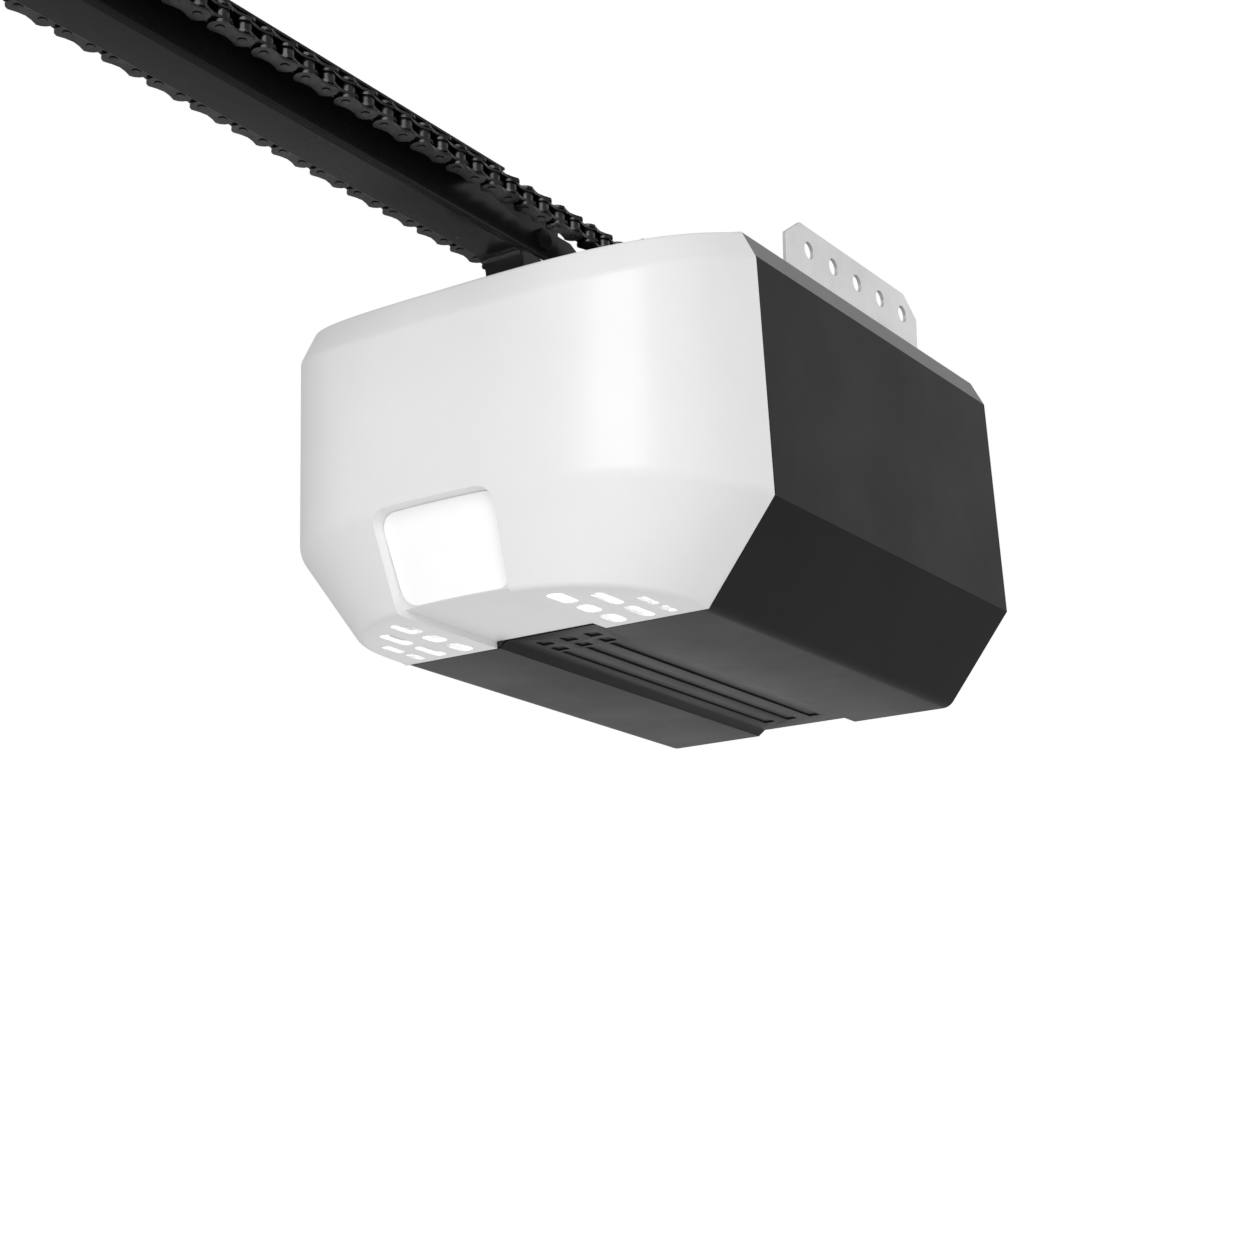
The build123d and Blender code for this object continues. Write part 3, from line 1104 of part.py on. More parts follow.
with BuildPart() as motor_rotor:
    shaft_front = SPROCKET_Y - WORM_LENGTH / 2 - 8
    shaft_rear = MOTOR_FRONT + MOTOR_LENGTH + END_BELL + 2
    with Locations(Location((MOTOR_X, shaft_front, up(GEAR_HEIGHT)), (-90, 0, 0))):
        Cylinder(MOTOR_SHAFT, shaft_rear - shaft_front, align=(Align.CENTER, Align.CENTER, Align.MIN))
    with Locations(Location((MOTOR_X, MOTOR_FRONT + MOTOR_LENGTH / 2, up(GEAR_HEIGHT)), (-90, 0, 0))):
        Cylinder(ROTOR_RADIUS, MOTOR_LENGTH - 30)
    with Locations(Location((MOTOR_X, SPROCKET_Y, up(GEAR_HEIGHT)), (-90, 0, 0))):
        Cylinder(WORM_RADIUS, WORM_LENGTH)
save(motor_rotor, "motor_rotor", ZINC)
with BuildPart() as motor_bracket:
    bracket_front, bracket_rear = SPROCKET_Y - WORM_LENGTH / 2 - 6, MOTOR_FRONT - END_BELL
    with Locations((MOTOR_X, (bracket_front + bracket_rear) / 2, DECK - SHEET)):
        Box(40, bracket_rear - bracket_front, 2, align=(Align.CENTER, Align.CENTER, Align.MAX))
    with Locations(*[(MOTOR_X, y, DECK - SHEET) for y in (bracket_front, bracket_rear - 3)]):
        Box(40, 3, MOTOR_DROP, align=(Align.CENTER, Align.MIN, Align.MAX))
    with Locations(Location((MOTOR_X, SPROCKET_Y, up(GEAR_HEIGHT)), (90, 0, 0))):
        Cylinder(MOTOR_SHAFT + RUNNING, 400, mode=Mode.SUBTRACT)
save(motor_bracket, "motor_bracket", ZINC)

# Speed sensor: a slotted wheel on the sprocket shaft that turns in a fork under the deck
with BuildPart() as sensor_wheel:
    with BuildSketch(Plane.XY.offset(up(SENSOR_HEIGHT))):
        with Locations((0, SPROCKET_Y)):
            Circle(SENSOR_RADIUS)
            with PolarLocations(SENSOR_RADIUS - 2, 6):
                Rectangle(6, 3, mode=Mode.SUBTRACT)
            Circle(SHAFT_RADIUS, mode=Mode.SUBTRACT)
    extrude(amount=1.5)
save(sensor_wheel, "sensor_wheel", DARK)
with BuildPart() as sensor_fork:
    with Locations((-SENSOR_RADIUS - 4, SPROCKET_Y, DECK - SHEET)):
        Box(14, 12, DECK - SHEET - up(SENSOR_HEIGHT - 6), align=(Align.CENTER, Align.CENTER, Align.MAX))
    with Locations((-SENSOR_RADIUS + 3, SPROCKET_Y, up(SENSOR_HEIGHT) + 0.75)):
        Box(14, 14, 4, mode=Mode.SUBTRACT)
save(sensor_fork, "sensor_fork", DARK)

# Power supply and logic board, held behind the rear panel and under the deck
with BuildPart() as transformer:
    with Locations((-58, behind(110), DECK - SHEET)):
        Box(62, 56, 6, align=(Align.CENTER, Align.CENTER, Align.MAX))
        with Locations((0, 0, -6)):
            Box(50, 56, 40, align=(Align.CENTER, Align.CENTER, Align.MAX))
        with Locations((0, 0, -12)):
            Box(40, 70, 28, align=(Align.CENTER, Align.CENTER, Align.MAX))
save(transformer, "transformer", DARK)
with BuildPart() as logic_board:
    with Locations((CONTROL_X, REAR - BOARD_BACK, up(92))):
        Box(120, 1.6, 110, align=(Align.CENTER, Align.MIN, Align.CENTER))
    with Locations(*[(CONTROL_X + x, REAR - BOARD_BACK, up(z)) for x, z in BOARD_POSTS]):
        Box(18, 12, 16, align=(Align.CENTER, Align.MAX, Align.CENTER))
save(logic_board, "logic_board", BOARD)
with BuildPart() as board_posts:
    for x in (CONTROL_X - 54, CONTROL_X + 54):
        for z in (92 - 48, 92 + 48):
            with Locations(Location((x, REAR - REAR_PANEL, up(z)), (90, 0, 0))):
                Cylinder(3.5, BOARD_BACK - REAR_PANEL - 1.6, align=(Align.CENTER, Align.CENTER, Align.MIN))
save(board_posts, "board_posts", NYLON)

# Control panel on the rear, with three buttons that are pushed forwards
with BuildPart() as control_panel:
    with BuildSketch(Plane.XZ.offset(-REAR - CONTROL_THICKNESS)):
        with Locations((CONTROL_X, up(CONTROL_HEIGHT))):
            RectangleRounded(CONTROL_WIDTH, CONTROL_TALL, 4)
        for dx, radius in BUTTONS.values():
            with Locations((CONTROL_X + dx, up(CONTROL_HEIGHT))):
                Circle(radius + BUTTON_GAP, mode=Mode.SUBTRACT)
    extrude(amount=CONTROL_THICKNESS)
    chamfer(control_panel.faces().sort_by(Axis.Y)[-1].outer_wire().edges(), 0.8)
save(control_panel, "control_panel", DARK)
for button_name, (dx, radius) in BUTTONS.items():
    with BuildPart() as button:
        face_y = REAR + CONTROL_THICKNESS + BUTTON_STAND
        with Locations(Location((CONTROL_X + dx, face_y, up(CONTROL_HEIGHT)), (90, 0, 0))):
            button_length = BUTTON_STAND + CONTROL_THICKNESS + SEAT_GAP
            Cylinder(radius, button_length, align=(Align.CENTER, Align.CENTER, Align.MIN))
        with Locations(Location((CONTROL_X + dx, REAR - SEAT_GAP, up(CONTROL_HEIGHT)), (90, 0, 0))):
            Cylinder(radius + BUTTON_LIP, BUTTON_LIP, align=(Align.CENTER, Align.CENTER, Align.MIN))
        chamfer(button.edges().sort_by(Axis.Y)[-1], 0.6)
    save(button, button_name, GREY)

# Power inlet gland and the terminal strip for the wall control's wires
with BuildPart() as power_inlet:
    with Locations(Location((INLET_X, REAR, up(INLET_HEIGHT)), (-90, 0, 0))):
        Cylinder(INLET_RADIUS + 3, 3, align=(Align.CENTER, Align.CENTER, Align.MIN))
        Cylinder(INLET_RADIUS, 8, align=(Align.CENTER, Align.CENTER, Align.MIN))
        Cylinder(INLET_RADIUS, 6, align=(Align.CENTER, Align.CENTER, Align.MAX))
        Cylinder(4.5, 60, mode=Mode.SUBTRACT)
save(power_inlet, "power_inlet", DARK)
with BuildPart() as terminal_strip:
    with Locations((CONTROL_X, REAR, up(TERMINAL_HEIGHT))):
        Box(44, 9, 14, align=(Align.CENTER, Align.MIN, Align.CENTER))
    with Locations((CONTROL_X, REAR + 9, up(TERMINAL_HEIGHT))):
        with GridLocations(10, 1, 4, 1):
            Box(5, 6, 8, mode=Mode.SUBTRACT)
save(terminal_strip, "terminal_strip", (0.8, 0.8, 0.76))


# Lamp holders stand off the light panel on feet, and each takes a lamp that points outwards
def lamp_pair(make):
    """One part for each side, made by a function of the side."""
    pair = [make(side) for side in (1, -1)]
    with BuildPart() as both:
        add(pair[0].part)
        add(pair[1].part)
    return both


def lamp_holder(side):
    """A round holder on a foot, open outwards."""
    panel_y = behind(LIGHT_PANEL_BACK - SHEET)
    middle = (SOCKET_IN + SOCKET_OUT) / 2
    with BuildPart() as holder:
        with Locations(Location((side * SOCKET_IN, LAMP_Y, up(LAMP_HEIGHT)), (0, side * 90, 0))):
            Cylinder(SOCKET_RADIUS, SOCKET_OUT - SOCKET_IN, align=(Align.CENTER, Align.CENTER, Align.MIN))
        with Locations((side * middle, (panel_y + LAMP_Y) / 2 + 4, up(LAMP_HEIGHT))):
            Box(SOCKET_OUT - SOCKET_IN - 4, panel_y - LAMP_Y - 8, 20)
        with Locations(Location((side * (SOCKET_IN + 4), LAMP_Y, up(LAMP_HEIGHT)), (0, side * 90, 0))):
            Cylinder(
                BASE_RADIUS + SEAT_GAP,
                SOCKET_OUT,
                align=(Align.CENTER, Align.CENTER, Align.MIN),
                mode=Mode.SUBTRACT,
            )
    return holder


def lamp(side):
    """A lamp with its base in the holder and its globe outwards."""
    inner = SOCKET_IN + 4 + SEAT_GAP
    with BuildPart() as bulb:
        with BuildSketch(Plane.XY.offset(up(LAMP_HEIGHT))):
            with BuildLine():
                neck = (side * (SOCKET_OUT + 4), LAMP_Y + BASE_RADIUS)
                Polyline((side * inner, LAMP_Y), (side * inner, LAMP_Y + BASE_RADIUS), neck)
                globe = [
                    (side * (LAMP_X + BULB_RADIUS * cos(a)), LAMP_Y + BULB_RADIUS * sin(a))
                    for a in map(radians, (115, 92, 69, 46, 23, 0))
                ]
                Polyline(neck, *globe, (side * inner, LAMP_Y))
            make_face()
        revolve(axis=Axis((0, LAMP_Y, up(LAMP_HEIGHT)), (1, 0, 0)))
    return bulb


save(lamp_pair(lamp_holder), "lamp_holders", NYLON)
save(lamp_pair(lamp), "lamps", WHITE)
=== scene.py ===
# %% [markdown]
# # A chain drive garage door opener, dressed for the camera
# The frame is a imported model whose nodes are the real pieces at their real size. This lesson gives
# each of them the surface it has on the real machine, and remodels the ones that the eye rests on:
# the moulded lens, the folded case, the rail and the chain. Everything is in metres, and the origin is
# the point from which the head hangs.

import json
from math import atan2, copysign, cos, pi, radians, sin, sqrt, tan

import bmesh
import bpy
from mathutils import Matrix, Vector


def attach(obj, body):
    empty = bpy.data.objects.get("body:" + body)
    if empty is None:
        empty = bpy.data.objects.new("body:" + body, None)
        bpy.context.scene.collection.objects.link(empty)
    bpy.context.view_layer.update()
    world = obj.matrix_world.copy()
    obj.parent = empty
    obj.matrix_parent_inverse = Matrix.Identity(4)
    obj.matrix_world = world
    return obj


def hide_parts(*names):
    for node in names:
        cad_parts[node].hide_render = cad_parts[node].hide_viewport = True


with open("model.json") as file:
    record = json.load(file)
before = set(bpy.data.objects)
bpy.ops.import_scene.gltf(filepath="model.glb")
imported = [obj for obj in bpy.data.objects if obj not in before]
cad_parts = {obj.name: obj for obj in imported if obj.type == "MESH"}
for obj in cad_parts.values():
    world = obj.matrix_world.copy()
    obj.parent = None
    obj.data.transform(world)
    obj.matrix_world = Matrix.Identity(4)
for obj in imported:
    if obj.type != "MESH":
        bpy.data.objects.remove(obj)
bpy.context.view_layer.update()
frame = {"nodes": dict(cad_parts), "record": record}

# %% [markdown]
# ## Driving sizes
# A few sizes of the case, the lens and the chain drive every new piece below. They repeat the CAD
# part's values, so the dressed pieces take the very places of the nodes that they stand for.

# %% Sizes
MM = 0.001
FRONT = -120.0 * MM
REAR = 120.0 * MM
UNDERSIDE = -197.0 * MM
DECK = -18.0 * MM
HEAD_WIDTH = 248.0 * MM
FLOOR_WIDTH = 176.0 * MM
SHOULDER_WIDTH = 234.0 * MM
DECK_WIDTH = 219.0 * MM
FOLD_HEIGHT = 47.0 * MM
SHOULDER_HEIGHT = 165.0 * MM
LENS_Y = FRONT - 0.8 * MM
LENS_TILT = radians(20.5)
LENS_WALL = 2.0 * MM
CHANNEL_WIDTH = 61.0 * MM
PANEL_HEIGHT = 45.0 * MM
PANEL_RECESS = 3.5 * MM
PANEL_CORNER = 8.0 * MM
PANEL_SET_BACK = 4.5 * MM
PANEL_SPREAD = 0.14

# %% [markdown]
# ## Helpers for meshes
# Every new piece is a bmesh that becomes an object at the origin. `new_piece` also hangs the piece on the body that
# it rides on, hides the nodes that it stands for and gives it its finish.


# %% Piece helper
def as_mesh(name, bm):
    """Turn a bmesh into a mesh and free it."""
    mesh = bpy.data.meshes.new(name)
    bm.to_mesh(mesh)
    bm.free()
    return mesh


def new_piece(name, bm, material, body, replaces, angle=35):
    """Turn a bmesh into the piece that stands for the given nodes, with flat angles shaded smooth."""
    mesh = as_mesh(name, bm)
    piece = bpy.data.objects.new(name, mesh)
    bpy.context.scene.collection.objects.link(piece)
    mesh.materials.append(material)
    mesh.shade_smooth()
    mesh.set_sharp_from_angle(angle=radians(angle))
    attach(piece, body)
    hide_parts(*replaces)
    return piece


def soften(piece, width, segments=2, angle=30):
    """Round the piece's edges as a press or a mould leaves them."""
    bevel = piece.modifiers.new("soft edges", "BEVEL")
    bevel.width = width
    bevel.segments = segments
    bevel.limit_method = "ANGLE"
    bevel.angle_limit = radians(angle)
    bevel.harden_normals = True
    return piece


# %% [markdown]
# A sheet or a casting whose CAD shape is already right only lacks its small edge radii. `dressed`
# copies the node's triangles, welds them, joins the flat ones into whole faces and bevels the edges,
# so that each edge catches a thin line of light as folded steel does.


# %% Copy of a node with soft edges
def body_of_node(node):
    """The name of the body that holds a node."""
    bodies = frame["record"]["behaviour"]["bodies"]
    return next(body for body, nodes in bodies.items() if node in nodes)


def dressed(node, material, width, segments=2, angle=30, smooth=35):
    """A welded copy of a node's mesh with bevelled edges, which stands for the node."""
    bm = bmesh.new()
    bm.from_mesh(frame["nodes"][node].data)
    bmesh.ops.remove_doubles(bm, verts=bm.verts, dist=0.000004)
    bmesh.ops.dissolve_limit(bm, verts=bm.verts, edges=bm.edges, angle_limit=radians(0.6))
    piece = new_piece(node + "_dressed", bm, material, body_of_node(node), (node,), smooth)
    return soften(piece, width, segments, angle)


# %% [markdown]
# ## Finishes
# Paint, plated steel, moulded plastic and oiled chain differ mostly in how their roughness and fine
# relief vary. Two node groups hold what they share: `Fine relief` gives a slightly uneven normal and
# roughness at a chosen scale, and `Patchy colour` lets the colour drift a little over the surface.


# %% Node group helper
def node_group(name, inputs, outputs):
    """An empty shader group with float inputs and the given outputs, and its two end nodes."""
    group = bpy.data.node_groups.new(name, "ShaderNodeTree")
    for label, kind, value in inputs:
        socket = group.interface.new_socket(label, in_out="INPUT", socket_type=kind)
        socket.default_value = value
    for label, kind in outputs:
        group.interface.new_socket(label, in_out="OUTPUT", socket_type=kind)
    start = group.nodes.new("NodeGroupInput")
    end = group.nodes.new("NodeGroupOutput")
    return group, start, end


def noise(tree, vector, scale, detail=3.0, roughness=0.55):
    """A noise texture on the given coordinates."""
    texture = tree.nodes.new("ShaderNodeTexNoise")
    texture.inputs["Detail"].default_value = detail
    texture.inputs["Roughness"].default_value = roughness
    if isinstance(scale, float):
        texture.inputs["Scale"].default_value = scale
    else:
        tree.links.new(scale, texture.inputs["Scale"])
    tree.links.new(vector, texture.inputs["Vector"])
    return texture.outputs["Fac"]


def spread(tree, value, low, high):
    """Map a 0 to 1 value onto the range between two sockets or numbers."""
    node = tree.nodes.new("ShaderNodeMapRange")
    node.inputs["From Min"].default_value = 0.3
    node.inputs["From Max"].default_value = 0.7
    tree.links.new(value, node.inputs["Value"])
    for label, end in (("To Min", low), ("To Max", high)):
        if isinstance(end, float):
            node.inputs[label].default_value = end
        else:
            tree.links.new(end, node.inputs[label])
    return node.outputs["Result"]


# %% The two shared groups
FLOAT = "NodeSocketFloat"
VECTOR = "NodeSocketVector"
COLOR = "NodeSocketColor"

relief, relief_in, relief_out = node_group(
    "Fine relief",
    [
        ("Vector", VECTOR, (0, 0, 0)),
        ("Scale", FLOAT, 400.0),
        ("Depth", FLOAT, 0.0001),
        ("Low roughness", FLOAT, 0.4),
        ("High roughness", FLOAT, 0.5),
    ],
    [("Roughness", FLOAT), ("Normal", VECTOR)],
)
fine = noise(relief, relief_in.outputs["Vector"], relief_in.outputs["Scale"], 2.0)
broad = noise(relief, relief_in.outputs["Vector"], 14.0, 5.0, 0.6)
relief.links.new(
    spread(relief, broad, relief_in.outputs["Low roughness"], relief_in.outputs["High roughness"]),
    relief_out.inputs["Roughness"],
)
bump = relief.nodes.new("ShaderNodeBump")
bump.inputs["Strength"].default_value = 1.0
relief.links.new(relief_in.outputs["Depth"], bump.inputs["Distance"])
relief.links.new(fine, bump.inputs["Height"])
relief.links.new(bump.outputs["Normal"], relief_out.inputs["Normal"])

patchy, patchy_in, patchy_out = node_group(
    "Patchy colour",
    [
        ("Vector", VECTOR, (0, 0, 0)),
        ("Scale", FLOAT, 20.0),
        ("Dark", COLOR, (0, 0, 0, 1)),
        ("Light", COLOR, (1, 1, 1, 1)),
    ],
    [("Color", COLOR)],
)
cloud = noise(patchy, patchy_in.outputs["Vector"], patchy_in.outputs["Scale"], 6.0, 0.62)
blend = patchy.nodes.new("ShaderNodeMix")
blend.data_type = "RGBA"
patchy.links.new(spread(patchy, cloud, 0.0, 1.0), blend.inputs["Factor"])
patchy.links.new(patchy_in.outputs["Dark"], blend.inputs["A"])
patchy.links.new(patchy_in.outputs["Light"], blend.inputs["B"])
patchy.links.new(blend.outputs["Result"], patchy_out.inputs["Color"])


# %% [markdown]
# A finish is those two groups in front of one Principled shader. `stretch` squeezes the coordinates
# along one axis, which turns round specks into the drawn lines of brushed or rolled steel.


# %% Finish helper
def grey(value):
    """A neutral colour with alpha."""
    return (value, value, value, 1.0)


def finish(name, dark, light, relief_scale, depth, rough, metal=0.0, stretch=(1, 1, 1), patch=18.0, **sockets):
    """A material from the two shared groups; extra values go straight to the shader's sockets."""
    material = bpy.data.materials.new(name)
    material.use_nodes = True
    tree = material.node_tree
    shader = tree.nodes["Principled BSDF"]
    place = tree.nodes.new("ShaderNodeTexCoord")
    squeeze = tree.nodes.new("ShaderNodeMapping")
    squeeze.inputs["Scale"].default_value = stretch
    tree.links.new(place.outputs["Object"], squeeze.inputs["Vector"])
    surface = tree.nodes.new("ShaderNodeGroup")
    surface.node_tree = relief
    colour = tree.nodes.new("ShaderNodeGroup")
    colour.node_tree = patchy
    for group in (surface, colour):
        tree.links.new(squeeze.outputs["Vector"], group.inputs["Vector"])
    surface.inputs["Scale"].default_value = relief_scale
    surface.inputs["Depth"].default_value = depth
    surface.inputs["Low roughness"].default_value = rough[0]
    surface.inputs["High roughness"].default_value = rough[1]
    colour.inputs["Scale"].default_value = patch
    colour.inputs["Dark"].default_value = dark
    colour.inputs["Light"].default_value = light
    tree.links.new(colour.outputs["Color"], shader.inputs["Base Color"])
    tree.links.new(surface.outputs["Roughness"], shader.inputs["Roughness"])
    tree.links.new(surface.outputs["Normal"], shader.inputs["Normal"])
    shader.inputs["Metallic"].default_value = metal
    for label, value in sockets.items():
        shader.inputs[label.replace("_", " ")].default_value = value
    return material


# %% The finishes of this machine
lens_white = finish("lens white", grey(0.84), grey(0.87), 900.0, 0.00001, (0.28, 0.34))
# The lens panel's finish has a faint white emission: a painted glow, since the panel is no lamp.
lens_painted_glow = finish("lens painted glow", grey(0.93), grey(0.96), 900.0, 0.00001, (0.16, 0.22), Emission_Color=grey(1.0))
lens_painted_glow.node_tree.nodes["Principled BSDF"].inputs["Emission Strength"].default_value = 0.14
case_black = finish("case black", grey(0.009), grey(0.012), 1500.0, 0.00002, (0.36, 0.44), Specular_IOR_Level=0.11)
deck_grey = finish("deck grey", grey(0.16), grey(0.185), 1500.0, 0.00002, (0.4, 0.48))
rail_black = finish("rail black", grey(0.005), grey(0.008), 1200.0, 0.00002, (0.22, 0.32), Specular_IOR_Level=0.15)
chain_dark = finish("chain dark", grey(0.03), grey(0.07), 700.0, 0.00004, (0.18, 0.32), metal=1.0, patch=160.0)
zinc = finish("zinc plate", grey(0.70), grey(0.78), 700.0, 0.00002, (0.34, 0.46), metal=0.7, patch=60.0)
bright_zinc = finish("bright zinc", grey(0.6), grey(0.7), 900.0, 0.00001, (0.22, 0.34), metal=1.0, patch=90.0)
gear_steel = finish("machined steel", grey(0.4), grey(0.5), 500.0, 0.00002, (0.22, 0.36), 1.0, (1, 1, 30))
wire_steel = finish("wire rope", grey(0.3), grey(0.5), 500.0, 0.0001, (0.3, 0.45), metal=1.0, patch=300.0)
nylon = finish("natural nylon", (0.70, 0.68, 0.6, 1), (0.76, 0.74, 0.66, 1), 1200.0, 0.00002, (0.42, 0.52))
black_plastic = finish("black plastic", grey(0.016), grey(0.022), 1400.0, 0.00005, (0.44, 0.55))
white_paint = finish("white paint", grey(0.78), grey(0.82), 1200.0, 0.00002, (0.35, 0.42))
lamp_opal = finish("opal lamp", (0.9, 0.89, 0.86, 1), (0.93, 0.92, 0.9, 1), 900.0, 0.000005, (0.2, 0.26))
socket_white = finish("socket white", (0.7, 0.69, 0.65, 1), (0.75, 0.74, 0.7, 1), 1200.0, 0.00002, (0.4, 0.5))
motor_dark = finish("motor paint", grey(0.02), grey(0.03), 900.0, 0.00004, (0.35, 0.45))
alloy = finish("cast alloy", grey(0.45), grey(0.55), 600.0, 0.00008, (0.4, 0.55), metal=1.0, patch=70.0)
board_green = finish("solder mask", (0.012, 0.09, 0.035, 1), (0.02, 0.13, 0.05, 1), 900.0, 0.00001, (0.25, 0.35))
lever_red = finish("lever red", (0.45, 0.012, 0.01, 1), (0.52, 0.02, 0.014, 1), 900.0, 0.00001, (0.28, 0.36))
button_grey = finish("button grey", grey(0.09), grey(0.11), 1300.0, 0.00003, (0.42, 0.52))
print("finishes", len(bpy.data.materials))

# %% [markdown]
# ## Pieces whose shape the frame already has
# Folded sheets get a small edge radius, and turned or moulded pieces a smaller one. The table below
# names each node once, with its finish and the radius of its edges.

# %% Dress the carried-over pieces
DRESSED = [
    (case_black, 0.4 * MM, ["lower_cover"]),
    (case_black, 0.3 * MM, ["rear_panel"]),
    (deck_grey, 0.4 * MM, ["deck_pan"]),
    (rail_black, 0.3 * MM, ["rail", "rail_mount", "rail_cross_bolt"]),
    (zinc, 0.4 * MM, ["hanger_bracket_right", "hanger_bracket_left", "idler_bracket", "header_bracket"]),
    (zinc, 0.4 * MM, ["trolley_shell", "straight_arm", "curved_arm", "door_bracket", "motor_bracket", "chain_clip"]),
    (bright_zinc, 0.3 * MM, ["hanger_screws", "mount_bolts", "idler_bolts", "arm_bolts"]),
    (bright_zinc, 0.3 * MM, ["pulley_axle", "pulley_spacers", "arm_pin", "lever_pin", "door_pin", "header_pin"]),
    (bright_zinc, 0.4 * MM, ["cable_ends"]),
    (gear_steel, 0.3 * MM, ["sprocket", "sprocket_shaft", "motor_rotor"]),
    (nylon, 0.3 * MM, ["deck_bush", "drive_gear", "front_pulley", "trolley_slides"]),
    (black_plastic, 0.4 * MM, ["sprocket_cover", "control_panel", "power_inlet", "sensor_wheel", "sensor_fork"]),
    (white_paint, 0.3 * MM, ["light_panel"]),
    (socket_white, 0.4 * MM, ["lamp_holders", "terminal_strip", "board_posts"]),
    (lamp_opal, 0.2 * MM, ["lamps"]),
    (motor_dark, 0.6 * MM, ["motor_can", "transformer"]),
    (alloy, 0.6 * MM, ["motor_ends"]),
    (board_green, 0.2 * MM, ["logic_board"]),
    (lever_red, 0.6 * MM, ["release_lever"]),
    (button_grey, 0.5 * MM, ["up_button", "down_button", "learn_button"]),
    (wire_steel, 0.1 * MM, ["drive_cable"]),
]
for material, width, nodes in DRESSED:
    for node in nodes:
        dressed(node, material, width)
print("dressed", sum(len(nodes) for _, _, nodes in DRESSED))

# %% [markdown]
# ## The lens
# The front of the head is one moulded bowl of white plastic. Its plan bulges more than half an ellipse
# does, and four such rings carry it: the floor, the fold, the shoulder and the top, of which the last
# two tilt down towards the front. A unit circle is made once and then extruded from height to height.
# Raising its coordinates to a power under one fills the plan out, and the folds between the rings are
# bevelled into soft bends.

# %% Rings of the bowl
LENS_RINGS = [
    (UNDERSIDE, FLOOR_WIDTH / 2, 77.0 * MM, 0.0, 2.6),
    (UNDERSIDE + FOLD_HEIGHT, HEAD_WIDTH / 2, 94.0 * MM, radians(1.5), 2.45),
    (UNDERSIDE + SHOULDER_HEIGHT, SHOULDER_WIDTH / 2, 92.0 * MM, LENS_TILT, 3.2),
    (DECK, DECK_WIDTH / 2, 87.0 * MM, LENS_TILT, 3.2),
]
LENS_BENDS = [3.5 * MM, 3.5 * MM, 1.5 * MM, 1.5 * MM]
LENS_SEGMENTS = 240


def ring_matrix(z, half_width, depth, tilt):
    """Places a unit circle as one ring of the lens."""
    lean = Matrix.Identity(4)
    lean[2][1] = tan(tilt)
    return Matrix.Translation((0, LENS_Y, z)) @ lean @ Matrix.Diagonal((half_width, depth, 1, 1))


def inset_rings(inset):
    """The rings moved in by a wall thickness."""
    lean = (HEAD_WIDTH - FLOOR_WIDTH) / 2 / FOLD_HEIGHT
    floor_in = inset * (sqrt(1 + lean**2) - lean)
    fold_in = inset * sqrt(1 + (lean / 2) ** 2)
    shrink = [(inset, floor_in), (0, fold_in), (0, inset), (-inset, inset)]
    return [
        (z + rise, half_width - less, depth - less, tilt, fullness)
        for (z, half_width, depth, tilt, fullness), (rise, less) in zip(LENS_RINGS, shrink)
    ]


def fill_out(verts, power):
    """Raise the unit circle's coordinates to a power, which fills out its corners."""
    for v in verts:
        v.co.x = copysign(abs(v.co.x) ** power, v.co.x)
        v.co.y = copysign(abs(v.co.y) ** power, v.co.y)


def lens_form(inset, bends=LENS_BENDS):
    """The bowl's closed form, inset by a wall, with its folds bevelled."""
    bm = bmesh.new()
    bmesh.ops.create_circle(bm, segments=LENS_SEGMENTS, radius=1.0)
    bmesh.ops.bisect_plane(
        bm, geom=bm.verts[:] + bm.edges[:], plane_co=(0, 0, 0), plane_no=(0, 1, 0), clear_outer=True
    )
    rings = inset_rings(inset)
    fill_out(bm.verts, 2 / rings[0][4])
    bmesh.ops.transform(bm, matrix=ring_matrix(*rings[0][:4]), verts=bm.verts)
    loops = [bm.edges[:]]
    for low, high in zip(rings, rings[1:]):
        grown = bmesh.ops.extrude_edge_only(bm, edges=loops[-1])["geom"]
        verts = [item for item in grown if isinstance(item, bmesh.types.BMVert)]
        bmesh.ops.transform(bm, matrix=ring_matrix(*low[:4]).inverted(), verts=verts)
        fill_out(verts, low[4] / high[4])
        bmesh.ops.transform(bm, matrix=ring_matrix(*high[:4]), verts=verts)
        edges = [item for item in grown if isinstance(item, bmesh.types.BMEdge)]
        loops.append([edge for edge in edges if all(v in verts for v in edge.verts)])
    for ring in (loops[0], loops[-1]):
        bmesh.ops.contextual_create(bm, geom=ring)
    bmesh.ops.holes_fill(bm, edges=bm.edges, sides=0)
    bmesh.ops.recalc_face_normals(bm, faces=bm.faces)
    for loop, width in zip(loops, bends):
        bmesh.ops.bevel(
            bm, geom=loop, offset=max(width - inset, 0.5 * MM), segments=5, profile=0.5,
            affect="EDGES", clamp_overlap=True, material=-1,
        )
    return bm


# %% [markdown]
# The recess, the hollow inside and the vents are cut with solids, as a mould's slides and cores make
# them. `cut` runs exact Boolean modifiers and keeps the result.


# %% Cutting
def as_object(name, bm):
    """A bare object for a cutting solid."""
    tool = bpy.data.objects.new(name, as_mesh(name, bm))
    bpy.context.scene.collection.objects.link(tool)
    return tool


def cut(target, tools, operation="DIFFERENCE"):
    """Cut the tools from the target, or keep what they share, and remove them."""
    for tool in tools:
        knife = target.modifiers.new("cut", "BOOLEAN")
        knife.operation = operation
        knife.solver = "EXACT"
        knife.object = tool
    shape = target.evaluated_get(bpy.context.evaluated_depsgraph_get())
    mesh = bpy.data.meshes.new_from_object(shape)
    target.modifiers.clear()
    old = target.data
    target.data = mesh
    bpy.data.meshes.remove(old)
    for tool in tools:
        bpy.data.objects.remove(tool)
    return target


